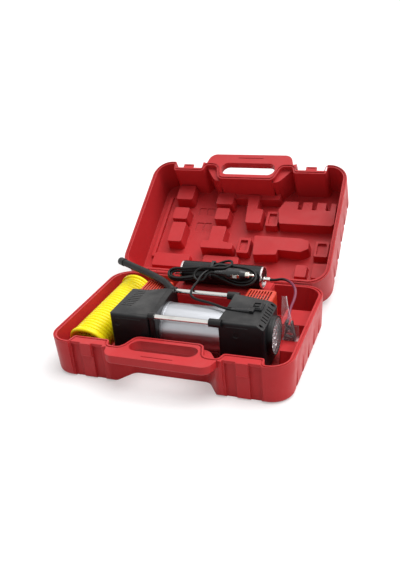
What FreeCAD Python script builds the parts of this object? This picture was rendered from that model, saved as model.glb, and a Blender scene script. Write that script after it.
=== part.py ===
# Tyre inflator kit in a blow-moulded carry case: a twin-cylinder 12 V air compressor with an end lamp,
# a recoil air hose, a supply lead with its lighter plug, and a battery clamp adaptor.
# Millimetres. X runs along the case, Y points to the back, Z up. The origin is on the floor, under the
# middle of the case base. The lid is drawn closed and then laid back about the hinge, as photographed.
import FreeCAD
import Part
import math
import os

V = FreeCAD.Vector

# Case
case_width = 430.0
case_depth = 289.0
base_height = 70.0
lid_height = 88.0
corner_radius = 40.0
rim_width = 8.0
skin = 2.4
rim_thickness = 4.4
draft = 3.0
bottom_radius = 9.0
base_pocket_depth = 63.0
lid_pocket_depth = 75.0
handle_proud = 23.5
handle_reach = case_depth / 2 + handle_proud
handle_thickness = 16.0
handle_hole_length = 120.0
handle_hole_width = 31.0
handle_hole_inset = 39.5
handle_hole_middle = handle_reach - handle_hole_inset
flute_radius = 7.0
flute_depth = 5.0
flute_spacing = 43.0
flute_inset = 52.5
flute_first = flute_inset - case_depth / 2
flute_count = 5
flute_top_gap = 18.0
latch_inset = 77.5
latch_middle = case_width / 2 - latch_inset
latch_width = 65.0
catch_width = 20.0
catch_height = 27.0
groove_width = 2.4
groove_depth = 2.2
bead_width = 1.2
bead_height = 1.8
open_angle = 147.0
hinge_setback = 2.5
hinge_axis_y = case_depth / 2 + hinge_setback
knuckle_radius = 4.5
knuckle_length = 20.0
hinge_inset = 95.0
hinge_middle = case_width / 2 - hinge_inset
hinge_pin_radius = 2.0
running_gap = 0.05
seat_gap = 0.3

# Compressor
axis_y = -36.0
axis_z = 62.0
barrel_radius = 39.0
barrel_wall = 2.0
barrel_left = -30.0
barrel_right = 80.0
housing_wall = 2.5
housing_bottom = 12.0
housing_top = 104.0
housing_rear = 8.0
left_housing_length = 71.0
left_housing_front = -91.0
flange_thickness = 11.0
right_housing_length = 77.0
right_housing_front = -82.0
crest_height = 7.0
foot_radius = 8.0
rod_radius = 4.0
rod_front_y = -84.0
rod_rear_y = 15.0
rod_z = 102.5
rod_seat = 4.0
socket_radius = 7.0
socket_length = 13.0
guard_rear = 58.0
guard_top = 99.0
guard_bottom = 28.0
guard_wall = 2.4
guard_half_width = 26.0
guard_slots = 8
slot_width = 3.0
lamp_y = -33.0
lamp_z = 61.0
lamp_radius = 34.0
lens_radius = 31.5
lamp_depth = 9.0
end_slope = 12.0
well_z = housing_top - 5.6

# Drive
gear_teeth = 30
pinion_teeth = 10
tooth_module = 1.0
gear_width = 6.0
gear_offset = 15.0
crank_throw = 8.0
crank_pin_radius = 3.0
cylinder_offset = 38.0
bore_radius = 13.0
cylinder_wall = 3.0
cylinder_rear = 50.0
shaft_radius = 2.5
core_radius = 27.0
magnet_thickness = 6.0

# Soft and loose things
coil_tube = 8.0
coil_radius = 33.5
coil_pitch = 9.1
coil_half_turns = 47
coil_inset = 54.0
coil_axis_x = coil_inset - case_width / 2
coil_front_inset = 47.5
coil_front_y = coil_front_inset - case_depth / 2
cord_diameter = 4.8
hank_step = 6.0
tube_radius = 21.0
tube_left = -55.0
tube_right = 105.0
tube_inset = 32.5
tube_y = case_depth / 2 - tube_inset
platform_top = 74.0
lead_diameter = 5.0
outlet_diameter = 13.5
cord_sides = 8


def box(x0, x1, y0, y1, z0, z1):
    return Part.makeBox(x1 - x0, y1 - y0, z1 - z0, V(x0, y0, z0))


def rod_between(start, end, radius):
    run = end - start
    return Part.makeCylinder(radius, run.Length, start, run)


def cylinder_x(x0, x1, y, z, radius):
    return rod_between(V(x0, y, z), V(x1, y, z), radius)


def cylinder_y(y0, y1, x, z, radius):
    return rod_between(V(x, y0, z), V(x, y1, z), radius)


def cylinder_z(z0, z1, x, y, radius):
    return rod_between(V(x, y, z0), V(x, y, z1), radius)


def mirrored(points):
    # A closed outline from its right half, given from the front middle to the back middle.
    return points + [(-x, y, r) for x, y, r in reversed(points)]


def grown(points, grow, sharp=False):
    # Every side of a counter-clockwise outline moved outwards, and its corner radii with it.
    count = len(points)
    result = []
    for k in range(count):
        x, y, r = points[k]
        bx, by = points[k - 1][:2]
        nx, ny = points[(k + 1) % count][:2]
        ux, uy = x - bx, y - by
        wx, wy = nx - x, ny - y
        ul, wl = math.hypot(ux, uy), math.hypot(wx, wy)
        ux, uy, wx, wy = ux / ul, uy / ul, wx / wl, wy / wl
        turn = ux * wy - uy * wx
        if abs(turn) < 1e-6:
            result.append((x + uy * grow, y - ux * grow, 0.0))
            continue
        ax, ay = x + uy * grow, y - ux * grow
        cx, cy = x + wy * grow, y - wx * grow
        t = ((cx - ax) * wy - (cy - ay) * wx) / turn
        radius = 0.0 if sharp or r == 0.0 else max(r + (grow if turn > 0 else -grow), 0.6)
        result.append((ax + ux * t, ay + uy * t, radius))
    return result


def outline(points, z):
    # A closed wire of straight sides and tangent corner arcs.
    edges = []
    ends = []
    count = len(points)
    for k in range(count):
        x, y, r = points[k]
        here = V(x, y, z)
        back = V(points[k - 1][0], points[k - 1][1], z) - here
        ahead = V(points[(k + 1) % count][0], points[(k + 1) % count][1], z) - here
        back.normalize()
        ahead.normalize()
        half = back.getAngle(ahead) / 2
        if r == 0.0 or abs(half - math.pi / 2) < 1e-6:
            ends.append((here, None, here))
            continue
        reach = r / math.tan(half)
        middle = back + ahead
        middle.normalize()
        mid = here + middle * (r / math.sin(half) - r)
        ends.append((here + back * reach, mid, here + ahead * reach))
    for k in range(count):
        first, mid, last = ends[k]
        if mid is not None:
            edges.append(Part.Arc(first, mid, last).toShape())
        following = ends[(k + 1) % count][0]
        if (following - last).Length > 1e-6:
            edges.append(Part.LineSegment(last, following).toShape())
    return Part.Wire(edges)


def prism(points, z0, z1, grow0=0.0, grow1=0.0, sharp=False):
    # A solid between two outlines, tapered where the two are grown unequally.
    low = outline(grown(points, grow0, sharp), z0)
    high = outline(grown(points, grow1, sharp), z1)
    if abs(grow0 - grow1) < 1e-9:
        return Part.Face(low).extrude(V(0, 0, z1 - z0))
    return Part.makeLoft([low, high], True, True)


def rectangle(x0, x1, y0, y1, r):
    return [(x0, y0, r), (x1, y0, r), (x1, y1, r), (x0, y1, r)]


def polygon_face(points, normal_axis, at):
    corners = []
    for a, b in points:
        if normal_axis == "x":
            corners.append(V(at, a, b))
        elif normal_axis == "y":
            corners.append(V(a, at, b))
        else:
            corners.append(V(a, b, at))
    return Part.Face(Part.makePolygon(corners + [corners[0]]))


def revolved_x(profile, y, z):
    # profile holds (x, radius) pairs and is turned about a line along X.
    corners = [V(x, y, z + radius) for x, radius in profile]
    face = Part.Face(Part.makePolygon(corners + [corners[0]]))
    return face.revolve(V(0, y, z), V(1, 0, 0), 360)


def joined(shapes):
    return shapes[0].multiFuse(shapes[1:]).removeSplitter()


def without(shape, cutters):
    for cutter in cutters:
        shape = shape.cut(cutter)
    return shape


def save(name, shape):
    for solid in shape.Solids:
        if not solid.isValid():
            print(name, "has a solid that is not valid")
    shape.exportStep("parts/" + name + ".step")


# Case halves, drawn with the rim plane at z = 0 and the half hanging below it.
# The bay under the handle ends at the waist, and the latch lies between the waist and the pillar.
front_line = -case_depth / 2
waist = latch_middle - latch_width / 2 - 3.0
pillar = latch_middle + latch_width / 2 - 1.0
lip_line = front_line + 6.5
opening_half = [
    (waist - 41.0, front_line + 44.5, 14.0), (waist - 29.0, lip_line + 1.0, 12.0),
    (waist - 5.0, lip_line + 1.0, 7.0), (waist, front_line + 24.5, 7.0),
    (pillar, front_line + 24.5, 5.0), (pillar + 3.0, lip_line, 4.0),
    (case_width / 2 - rim_width, lip_line, corner_radius - rim_width - 2.0),
    (case_width / 2 - rim_width, case_depth / 2 - rim_width, corner_radius - rim_width),
]
opening = mirrored(opening_half)
body_corner = rectangle(-case_width / 2, case_width / 2, -case_depth / 2, case_depth / 2, corner_radius)
bay_half = [(waist - 6.0, front_line, 22.0), (waist - 34.0, front_line + 38.5, 16.0)]
hole_end = handle_hole_width / 2 - 0.1
hole_half_length = handle_hole_length / 2
hole_front = -handle_hole_middle - handle_hole_width / 2
hole_rear = -handle_hole_middle + handle_hole_width / 2


def tray_outer(height, shrink):
    # The half's outer block: drafted walls and a rounded bottom edge.
    bottom = -height + shrink
    top = 0.0 if shrink == 0 else -rim_thickness
    block = prism(body_corner, bottom, top, -draft - shrink, -shrink)
    rounding = bottom_radius - shrink
    edges = [e for e in block.Edges if abs(e.BoundBox.ZMax - bottom) < 0.01]
    return block.makeFillet(rounding, edges)


def bay_outline():
    # The hollow under the handle seen from above, with the pillars' rounded inner corners.
    right = [(waist + 48.0, front_line - 1.0, 0.0)] + bay_half
    points = [(-x, y, r) for x, y, r in right] + list(reversed(right))
    points = points + [(waist + 48.0, front_line - 60.0, 0.0), (-waist - 48.0, front_line - 60.0, 0.0)]
    return list(reversed(points))


def handle_bay(height, grow):
    return prism(bay_outline(), -height - 1.0, -handle_thickness - grow, grow, grow, grow > 0)


def front_bay(grow):
    # The same hollow at the handle's own height, where only the handle stands in it.
    return prism(bay_outline(), -handle_thickness - grow, 1.0, grow, grow, grow > 0)


def handle_block(shrink):
    half = [(waist + 2.0, front_line + 40.5, 0.0), (waist - 4.0, lip_line, 8.0), (waist - 12.0, -handle_reach, 18.0)]
    if shrink > 0:
        # The hollow's corners are chamfered, so that it keeps inside the rounded ones.
        half = [(waist + 2.0, front_line + 40.5, 0.0), (waist - 4.0, lip_line, 0.0),
                (waist - 9.0, 15.0 - handle_reach, 0.0), (waist - 30.0, -handle_reach, 0.0)]
    points = [(-x, y, r) for x, y, r in half] + list(reversed(half))
    top = 0.0 if shrink == 0 else -skin
    block = prism(points, -handle_thickness + shrink, top, -shrink, -shrink, shrink > 0)
    if shrink == 0:
        front = [e for e in block.Edges if e.BoundBox.ZMax < -handle_thickness + 0.01
                 and e.BoundBox.YMin < lip_line - 2.0]
        block = block.makeFillet(4.0, front)
    return block


def handle_hole(grow):
    points = rectangle(-hole_half_length, hole_half_length, hole_front, hole_rear, hole_end)
    return prism(points, -handle_thickness - 1.0, 1.0, grow, grow)


def flutes(height, grow):
    # Upright grooves in both side walls, which run out below the rim.
    cutters = []
    for k in range(flute_count):
        y = flute_first + k * flute_spacing
        for side in (-1, 1):
            wall = case_width / 2 - draft
            low = V(side * (wall - flute_depth + flute_radius), y, -height - 2.0)
            high = V(side * (case_width / 2 + flute_radius + 0.5), y, -flute_top_gap)
            cutters.append(rod_between(low, high, flute_radius + grow))
    return cutters


def latch_recess(side, height, grow):
    # The bay in which the snap tongue lies: a shallow face with two deeper channels.
    half = latch_width / 2 + grow
    middle = side * latch_middle
    face = box(middle - half, middle + half, front_line - 5.0, front_line + 5.0 + grow, -height - 1.0, 1.0)
    cutters = [face]
    inner = catch_width / 2 + 1.0 - grow
    for way in (-1, 1):
        near = middle + way * inner
        far = middle + way * (half - 3.0)
        left, right = min(near, far), max(near, far)
        cutters.append(box(left, right, front_line - 5.0, front_line + 10.0 + grow, -height - 1.0, -5.0 + grow))
    return cutters


def pocket(depth, grow, blocks):
    # The half's hollow, with its moulded blocks left standing.
    low = grow - draft
    hollow = prism(opening, -depth - grow, 1.0, low, grow, grow > 0)
    # Beside the handle the hollow is shallow, since the bay under the handle passes below it.
    spare = 5.0 - grow
    hollow = hollow.cut(prism(bay_outline(), -depth - 9.0, -10.0 - grow, spare, spare, grow > 0))
    for points, top, taper in blocks:
        hollow = hollow.cut(prism(points, -depth - grow - 1.0, top - grow, taper - grow, -grow, grow > 0))
    return hollow


def tray(height, depth, blocks):
    # One double-walled half: outer and inner skins joined at the rim, with a sealed air space between.
    shell = tray_outer(height, 0).cut(front_bay(0)).fuse(handle_block(0))
    shell = shell.cut(handle_bay(height, 0))
    air = tray_outer(height, skin).cut(front_bay(skin))
    air = air.fuse(handle_block(skin)).cut(handle_bay(height, skin)).cut(handle_hole(skin))
    for cutter in flutes(height, 0):
        shell = shell.cut(cutter)
    for cutter in flutes(height, skin):
        air = air.cut(cutter)
    for side in (-1, 1):
        for cutter in latch_recess(side, height, 0):
            shell = shell.cut(cutter)
        for cutter in latch_recess(side, height, skin):
            air = air.cut(cutter)
    shell = shell.cut(pocket(depth, 0, blocks)).cut(handle_hole(0))
    air = air.cut(pocket(depth, skin, blocks))
    return shell, air


def rim_channel(inner, width, z0, z1):
    return prism(opening, z0, z1, inner + width, inner + width).cut(
        prism(opening, z0 - 1.0, z1 + 1.0, inner, inner))


def knuckles(parity, upward):
    # Hinge knuckles of one half, each on a short web that grows out of the back wall.
    solids = []
    for side in (-1, 1):
        for k in range(3):
            if k % 2 != parity:
                continue
            x0 = side * hinge_middle + (k - 1.5) * knuckle_length + seat_gap
            x1 = x0 + knuckle_length - 2 * seat_gap
            barrel = cylinder_x(x0, x1, hinge_axis_y, 0.0, knuckle_radius)
            web = box(x0, x1, case_depth / 2 - 2.4, hinge_axis_y, min(0, upward * 9.0), max(0, upward * 9.0))
            solids.append(barrel.fuse(web))
    return solids


def knuckle_reliefs(parity):
    # Room for the other half's knuckles.
    cutters = []
    for side in (-1, 1):
        for k in range(3):
            if k % 2 != parity:
                continue
            x0 = side * hinge_middle + (k - 1.5) * knuckle_length
            cutters.append(cylinder_x(x0, x0 + knuckle_length, hinge_axis_y, 0.0, knuckle_radius + 0.5))
    return cutters


def hinge_bores():
    reach = 1.5 * knuckle_length + 3.0
    return [cylinder_x(side * hinge_middle - reach, side * hinge_middle + reach, hinge_axis_y, 0.0,
                       hinge_pin_radius + running_gap) for side in (-1, 1)]


base_floor = base_height - base_pocket_depth


def base_blocks():
    # Moulded steps of the base: divider beside the coil, right ledges and the rear platform.
    coil_side = coil_axis_x + coil_radius + coil_tube / 2
    wall = case_width / 2 - 4.0
    ledge_top = 40.0 - base_height
    platform_front = tube_y - tube_radius - 28.0
    return [
        (rectangle(coil_side + 3.0, coil_side + 8.0, coil_front_y + 2.0, 56.0, 2.0), 36.0 - base_height, 1.0),
        (rectangle(wall - 61.0, wall, 45.0, 100.0, 3.0), ledge_top, 2.0),
        (rectangle(wall - 39.0, wall, -45.0, 0.0, 3.0), ledge_top, 2.0),
        (rectangle(tube_left - 11.0, tube_right + 13.0, platform_front, case_depth / 2 - 4.0, 5.0),
         platform_top - base_height, 2.0),
    ]


def case_base():
    blocks = base_blocks()
    shell, air = tray(base_height, base_pocket_depth, blocks)
    points, top, taper = blocks[3]
    crown = prism(points, -6.0, top, 0.0, -1.0)
    rear = case_depth / 2 - rim_width
    left, right, front = points[0][0] - 54.0, points[1][0] + 2.0, points[0][1] - 3.0
    inside = prism(opening, 0.0, top + 1.0, -1.0, -1.0).common(box(left, right, front, rear - 0.5, 0.0, top + 1.0))
    crown = crown.common(inside.fuse(box(left, right, front, rear + 0.5, -7.0, 0.0)))
    shell = shell.fuse(crown).cut(air)
    shell = shell.cut(rim_channel(3.0, groove_width, -groove_depth, 1.0))
    for side in (-1, 1):
        left = side * latch_middle - catch_width / 2
        face = front_line + 1.2
        profile = [(face + 9.0, 0.0), (face, 0.0), (face, 4.0 - catch_height), (face + 4.0, -catch_height),
                   (face + 9.0, -catch_height)]
        shell = shell.fuse(polygon_face(profile, "x", left).extrude(V(catch_width, 0, 0)))
    slit = box(-27.0, 29.0, -handle_reach + 9.0, -handle_reach + 10.6, -1.6, 1.0)
    shell = without(shell, [slit] + knuckle_reliefs(1))
    shell = shell.multiFuse(knuckles(0, -1))
    shell = without(shell, hinge_bores())
    shell.translate(V(0, 0, base_height))
    return shell


def pad_list():
    # Moulded pads in the lid that hold down what lies below: outline, top and taper.
    high, middle, low = -48.0, -56.0, -62.0
    pads = [
        (rectangle(-166.0, -128.0, -116.0, -77.0, 4.0), high, 3.0),
        (rectangle(-161.0, -127.0, -54.0, -23.0, 4.0), high, 3.0),
        (rectangle(-156.0, -124.0, -14.0, 37.0, 4.0), high, 3.0),
        (rectangle(-181.0, -99.0, 60.0, 92.0, 4.0), low, 3.0),
        (rectangle(-69.0, -31.0, -98.0, -68.0, 4.0), high, 3.0),
        (rectangle(-63.0, -33.0, -57.0, -27.0, 4.0), high, 3.0),
        ([(-62.0, -9.0, 3.0), (-30.0, -9.0, 3.0), (-30.0, 30.0, 2.0), (-6.0, 34.0, 3.0), (-6.0, 48.0, 3.0),
          (-77.0, 48.0, 3.0), (-77.0, 32.0, 3.0), (-62.0, 30.0, 2.0)], high, 2.0),
        (rectangle(-68.0, 10.0, 58.0, 82.0, 4.0), low, 2.0),
        ([(1.0, -96.0, 3.0), (26.0, -96.0, 3.0), (27.0, -60.0, 2.0), (41.0, -58.0, 3.0), (41.0, -22.0, 4.0),
          (8.0, -22.0, 4.0)], high, 2.0),
        (comb_outline(), high, 2.0),
        ([(36.0, 10.0, 3.0), (134.0, 11.0, 3.0), (152.0, 16.0, 3.0), (154.0, 35.0, 3.0), (139.0, 44.0, 3.0),
          (92.0, 42.0, 2.0), (90.0, 54.0, 3.0), (42.0, 58.0, 3.0)], high, 2.0),
        (rectangle(133.0, 156.0, 66.0, 94.0, 3.0), low, 2.0),
        (rectangle(167.0, 196.0, 60.0, 94.0, 3.0), low, 2.0),
        (rectangle(-191.0, -184.0, -96.0, 66.0, 2.0), -68.0, 1.0),
    ]
    for x0, x1, y0, y1 in ((50.0, 76.0, -60.0, -22.0), (2.0, 28.0, 12.0, 50.0), (165.0, 193.0, 10.0, 47.0)):
        pads.append((rectangle(x0, x1, y0, y1, 3.0), middle, 2.0))
    return pads


def comb_outline():
    # The long pad whose front edge carries three finger slots.
    points = [(81.0, -24.0, 5.0), (74.0, -60.0, 3.0), (84.0, -82.0, 3.0)]
    for middle in (119.0, 149.0, 178.0):
        points += [(middle - 5.0, -82.0, 2.0), (middle - 5.0, -62.0, 2.0),
                   (middle + 5.0, -62.0, 2.0), (middle + 5.0, -82.0, 2.0)]
    points += [(194.0, -80.0, 3.0), (196.0, -24.0, 8.0)]
    start = points[1:] + [points[0]]
    return start


def pad_windows(grow):
    # Shallow recesses moulded into three of the pads and into the floor between them.
    cutters = []
    for x0, x1, y0, y1 in ((55.0, 71.0, -54.0, -28.0), (7.0, 23.0, 18.0, 44.0), (170.0, 188.0, 15.0, 42.0)):
        cutters.append(prism(grown_rectangle(x0, x1, y0, y1, grow), -61.5 - grow, -50.0))
    for x0, x1, y0, y1 in floor_frames:
        middle = (x0 + x1) / 2
        for left, right in ((x0, middle - 1.0), (middle + 1.0, x1)):
            cutters.append(prism(grown_rectangle(left, right, y0, y1, grow), -lid_pocket_depth - 1.8 - grow,
                                 3.0 - lid_pocket_depth))
    return cutters


def grown_rectangle(x0, x1, y0, y1, grow):
    return rectangle(x0 - grow, x1 + grow, y0 - grow, y1 + grow, 2.0)


floor_frames = [(-114.0, -78.0, -74.0, -55.0), (-111.0, -77.0, -34.0, -10.5)]


def case_lid():
    blocks = pad_list()
    half, front, rear = waist - 32.0, front_line + 32.5, front_line + 56.5
    step = [(-half, front, 0.0), (half, front, 0.0), (half, rear, 4.0), (-half, rear, 4.0)]
    blocks.append((step, -52.0, 2.0))
    shell, air = tray(lid_height, lid_pocket_depth, blocks)
    for cutter in pad_windows(0.0):
        shell = shell.cut(cutter)
    for keeper in pad_windows(skin):
        air = air.cut(keeper)
    shell = shell.cut(air)
    shell = shell.cut(rim_channel(3.0, groove_width, -1.2, 1.0))
    bead = rim_channel(3.0 + (groove_width - bead_width) / 2, bead_width, -2.0, bead_height)
    shell = shell.fuse(bead)
    for side in (-1, 1):
        middle = side * latch_middle
        notch = box(middle - latch_width / 2, middle + latch_width / 2, front_line - 5.0, front_line + 16.0, -30.0, 1.0)
        tongue = box(middle - catch_width / 2 - 1.0, middle + catch_width / 2 + 1.0, lip_line, front_line + 18.5,
                     -4.5, 0.0)
        window = box(middle - 8.0, middle + 8.0, front_line + 8.5, front_line + 10.5, -5.0, 1.0)
        shell = shell.cut(notch).fuse(tongue).cut(window)
    slit = box(-27.0, 29.0, -handle_reach + 9.0, -handle_reach + 10.6, -1.6, 1.0)
    shell = without(shell, [slit] + knuckle_reliefs(0))
    shell = shell.multiFuse(knuckles(1, -1))
    shell = without(shell, hinge_bores())
    shell = shell.mirror(V(0, 0, 0), V(0, 0, 1))
    shell.translate(V(0, 0, base_height))
    shell.rotate(V(0, hinge_axis_y, base_height), V(1, 0, 0), -open_angle)
    return shell


def hinge_pins():
    pins = []
    reach = 1.5 * knuckle_length
    for side in (-1, 1):
        x0 = side * hinge_middle - reach
        pins.append(cylinder_x(x0, x0 + 2 * reach, hinge_axis_y, base_height, hinge_pin_radius))
    return Part.makeCompound(pins)


# Compressor. "way" is -1 on the left end and +1 on the right, "root" the housing's face beside the motor.
left_root = barrel_left - flange_thickness
right_root = barrel_right
crank_y = axis_y + tooth_module * (gear_teeth + pinion_teeth) / 2
cylinder_x_left = left_root - cylinder_offset
cylinder_x_right = right_root + cylinder_offset


def housing_block(x0, x1, front, rear, bottom, top, round_radius):
    block = box(x0, x1, front, rear, bottom, top)
    edges = [e for e in block.Edges
             if abs(e.BoundBox.XLength) > 1.0 or abs(e.BoundBox.ZLength) > 1.0]
    return block.makeFillet(round_radius, edges)


def housing_core(root, way, length, front):
    # Hollow for the drive, the boss that carries the crank, and the ways in for shaft and cylinder.
    x0 = root + way * housing_wall
    x1 = root + way * (length - housing_wall)
    hollow = box(min(x0, x1), max(x0, x1), front + housing_wall, housing_rear - housing_wall,
                 housing_bottom + housing_wall, housing_top - housing_wall)
    boss = cylinder_x(*sorted((root, root + way * 11.0)), crank_y, axis_z, 6.0)
    hollow = hollow.cut(boss)
    axle = cylinder_x(*sorted((root - way, root + way * 12.0)), crank_y, axis_z, crank_pin_radius + running_gap)
    shaft = cylinder_x(*sorted((root - way, root + way * 4.0)), axis_y, axis_z, shaft_radius + 1.5)
    middle = root + way * cylinder_offset
    mouth = cylinder_y(0.0, housing_rear + 1.0, middle, axis_z, bore_radius + cylinder_wall)
    return [hollow, axle, shaft, mouth]


def roof_between(rear_profile, front_profile, rear, front):
    # A top that rises from the front edge to the rear, given as heights over the housing's top at both ends.
    wires = []
    for profile, y in ((rear_profile, rear), (front_profile, front)):
        corners = [V(x, y, housing_top + z) for x, z in profile]
        wires.append(Part.makePolygon(corners + [corners[0]]))
    return Part.makeLoft(wires, True, True)


def left_housing():
    x0 = left_root - left_housing_length
    body = housing_block(x0, left_root, left_housing_front, housing_rear, housing_bottom, housing_top, 4.0)
    roof = roof_between([(left_root, -3.0), (left_root, 8.0), (left_root - 42.0, 0.2), (left_root - 44.0, -3.0)],
                        [(left_root, -3.0), (left_root, 0.6), (left_root - 42.0, 0.1), (left_root - 44.0, -3.0)],
                        housing_rear - 4.0, left_housing_front + 6.0)
    body = body.fuse(roof)
    core = housing_core(left_root, -1, left_housing_length, left_housing_front)
    body = without(body, core)
    # Shallow grooves across the top, and the raised line with its dimple on the front face.
    for k in range(9):
        y = -58.0 + k * 6.6
        body = body.cut(box(x0 + 6.0 + k, left_root - 44.0 + k, y, y + 1.6, housing_top - 0.9, housing_top + 0.2))
    body = body.fuse(box(x0 + 10.0, left_root - 14.0, left_housing_front - 0.8, left_housing_front + 1.0,
                         housing_top - 9.0, housing_top - 7.6))
    body = body.cut(cylinder_y(left_housing_front - 1.0, left_housing_front + 1.2, x0 + 13.0, housing_top - 18.0, 4.5))
    seat = cylinder_x(left_root - 6.0, left_root + 1.0, rod_rear_y, rod_z, socket_radius)
    return body.cut(seat)


def motor_flange():
    # The dark plate between the left housing and the motor, which carries the rods.
    block = housing_block(left_root, barrel_left, left_housing_front + 1.0, housing_rear + 12.0,
                          housing_bottom + 4.0, housing_top + 1.0, 5.0)
    rear_profile = [(left_root, -4.0), (left_root, 7.6), (barrel_left, 7.6), (barrel_left, -4.0)]
    front_profile = [(left_root, -4.0), (left_root, 1.0), (barrel_left, 1.0), (barrel_left, -4.0)]
    block = block.fuse(roof_between(rear_profile, front_profile, 3.0, left_housing_front + 8.0))
    for y in (rod_front_y, rod_rear_y):
        block = block.fuse(cylinder_x(left_root, barrel_left, y, rod_z, socket_radius - 0.5))
    recess = cylinder_x(barrel_left - 3.0, barrel_left + 1.0, axis_y, axis_z, barrel_radius + 0.1)
    shaft = cylinder_x(left_root - 1.0, barrel_left + 1.0, axis_y, axis_z, shaft_radius + 1.5)
    cutters = [recess, shaft]
    cutters.append(cylinder_x(left_root - 1.0, left_root + 5.0, crank_y, axis_z, crank_pin_radius + running_gap))
    for y in (rod_front_y, rod_rear_y):
        cutters.append(cylinder_x(barrel_left - rod_seat, barrel_left + 1.0, y, rod_z, rod_radius))
    cutters.append(outlet_seat())
    return without(block, cutters)


def end_chamfer(x1, inward):
    # What the chamfer over the lamp takes off, moved into the housing by its wall for the hollow.
    dx, dz = inward * 0.6, inward * 0.8
    corners = [(x1 - end_slope - dx, housing_top - dz), (x1 - dx, housing_top - 0.75 * end_slope - dz),
               (x1 + 20.0, housing_top - 0.75 * end_slope - dz), (x1 + 20.0, housing_top + 20.0),
               (x1 - end_slope - dx, housing_top + 20.0)]
    face = polygon_face(corners, "y", right_housing_front - 5.0)
    return face.extrude(V(0, housing_rear - right_housing_front + 10.0, 0))


def right_housing():
    x1 = right_root + right_housing_length
    body = housing_block(right_root, x1, right_housing_front, housing_rear, housing_bottom, housing_top, 4.0)
    # The top rises to the rear beside the motor and falls away to the right and to the front.
    roof = roof_between([(right_root, -3.0), (right_root + 4.0, 9.0), (x1 - 12.0, 1.0), (x1 - 10.0, -3.0)],
                        [(right_root, -3.0), (right_root + 2.0, 0.3), (x1 - 12.0, 0.1), (x1 - 10.0, -3.0)],
                        housing_rear - 4.0, right_housing_front + 6.0)
    body = body.fuse(roof)
    stop = box(124.0, 131.0, relief_y - 6.0, relief_y + 6.0, housing_top - 2.0, housing_top + 7.0)
    stop = stop.makeFillet(2.0, [e for e in stop.Edges if e.BoundBox.ZMin > housing_top and e.BoundBox.XMin > 124.5])
    body = body.fuse(stop)
    body = body.fuse(box(switch_x - switch_half_x - 4.0, switch_x + switch_half_x + 4.0,
                         switch_y - switch_half_y - 4.0, switch_y + switch_half_y + 4.0,
                         housing_top - 2.0, switch_top))
    # The end is chamfered over the lamp, and bosses behind the chamfer carry the two screws.
    core = housing_core(right_root, 1, right_housing_length, right_housing_front)
    core[0] = core[0].cut(end_chamfer(x1, housing_wall))
    for y in (right_housing_front + 8.0, housing_rear - 8.0):
        core[0] = core[0].cut(cylinder_x(x1 - 15.0, x1, y, well_z, 5.6))
    body = without(body, core)
    body = body.cut(end_chamfer(x1, 0.0))
    body = body.cut(cylinder_x(x1 - 4.0, x1 + 1.0, lamp_y, lamp_z, lens_radius))
    # Louvre grooves down the chamfer and the two screw wells in its corners.
    for k in range(6):
        y = -60.0 + k * 9.0
        groove = polygon_face([(x1 - 11.3, housing_top - 2.4), (x1 - 2.5, housing_top - 9.0),
                               (x1 + 0.2, housing_top - 5.4), (x1 - 8.6, housing_top + 1.2)], "y", y)
        body = body.cut(groove.extrude(V(0, 3.6, 0)))
    for y in (right_housing_front + 8.0, housing_rear - 8.0):
        body = body.cut(cylinder_x(x1 - 12.0, x1 + 1.0, y, well_z, 3.4))
    body = body.cut(cylinder_x(right_root - 1.0, 124.0, relief_y, relief_z, 5.0))
    body = body.cut(switch_opening())
    body = body.fuse(box(right_root + 14.0, x1 - 26.0, right_housing_front - 0.8, right_housing_front + 1.0,
                         housing_top - 9.0, housing_top - 7.6))
    body = body.cut(cylinder_y(right_housing_front - 1.0, right_housing_front + 1.2, right_root + 30.0,
                               housing_top - 22.0, 5.0))
    for y in (rod_front_y, rod_rear_y):
        body = body.cut(cylinder_x(right_root - 1.0, right_root + 8.0, y, rod_z, socket_radius))
    return body


relief_y = -41.5
relief_z = 107.0
switch_x = 131.0
switch_y = -24.0
switch_half_x = 7.0
switch_half_y = 9.0


def switch_opening():
    return box(switch_x - switch_half_x, switch_x + switch_half_x, switch_y - switch_half_y,
               switch_y + switch_half_y, housing_top - 14.0, housing_top + 12.0)


switch_top = housing_top + 4.6
rocker_z = switch_top - 1.5


def switch_frame():
    outer = prism(rectangle(switch_x - switch_half_x, switch_x + switch_half_x, switch_y - switch_half_y,
                            switch_y + switch_half_y, 0.0), housing_top - 12.0, switch_top)
    lip = prism(rectangle(switch_x - switch_half_x - 2.0, switch_x + switch_half_x + 2.0,
                          switch_y - switch_half_y - 2.0, switch_y + switch_half_y + 2.0, 2.0),
                switch_top, switch_top + 2.0, 0.0, -0.8)
    body = outer.fuse(lip)
    well = box(switch_x - switch_half_x + 1.6, switch_x + switch_half_x - 1.6, switch_y - switch_half_y + 1.6,
               switch_y + switch_half_y - 1.6, housing_top - 10.0, switch_top + 3.0)
    pivot = cylinder_x(switch_x - switch_half_x + 0.6, switch_x + switch_half_x - 0.6, switch_y, rocker_z, 1.05)
    return body.cut(well).cut(pivot)


def switch_rocker():
    # A shallow V seen from the side, turned on two stub pins.
    half = switch_half_y - 2.2
    profile = [(switch_y - 5.2, rocker_z + 5.0), (switch_y - half, rocker_z - 0.5), (switch_y - 3.0, rocker_z - 4.5),
               (switch_y + 3.0, rocker_z - 4.5), (switch_y + half, rocker_z - 2.5), (switch_y + half, rocker_z + 2.0),
               (switch_y, rocker_z + 2.4)]
    width = 2 * switch_half_x - 4.4
    left = switch_x - width / 2
    body = polygon_face(profile, "x", left).extrude(V(width, 0, 0))
    pins = cylinder_x(switch_x - switch_half_x + 0.8, switch_x + switch_half_x - 0.8, switch_y, rocker_z, 1.0)
    return body.fuse(pins)


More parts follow.
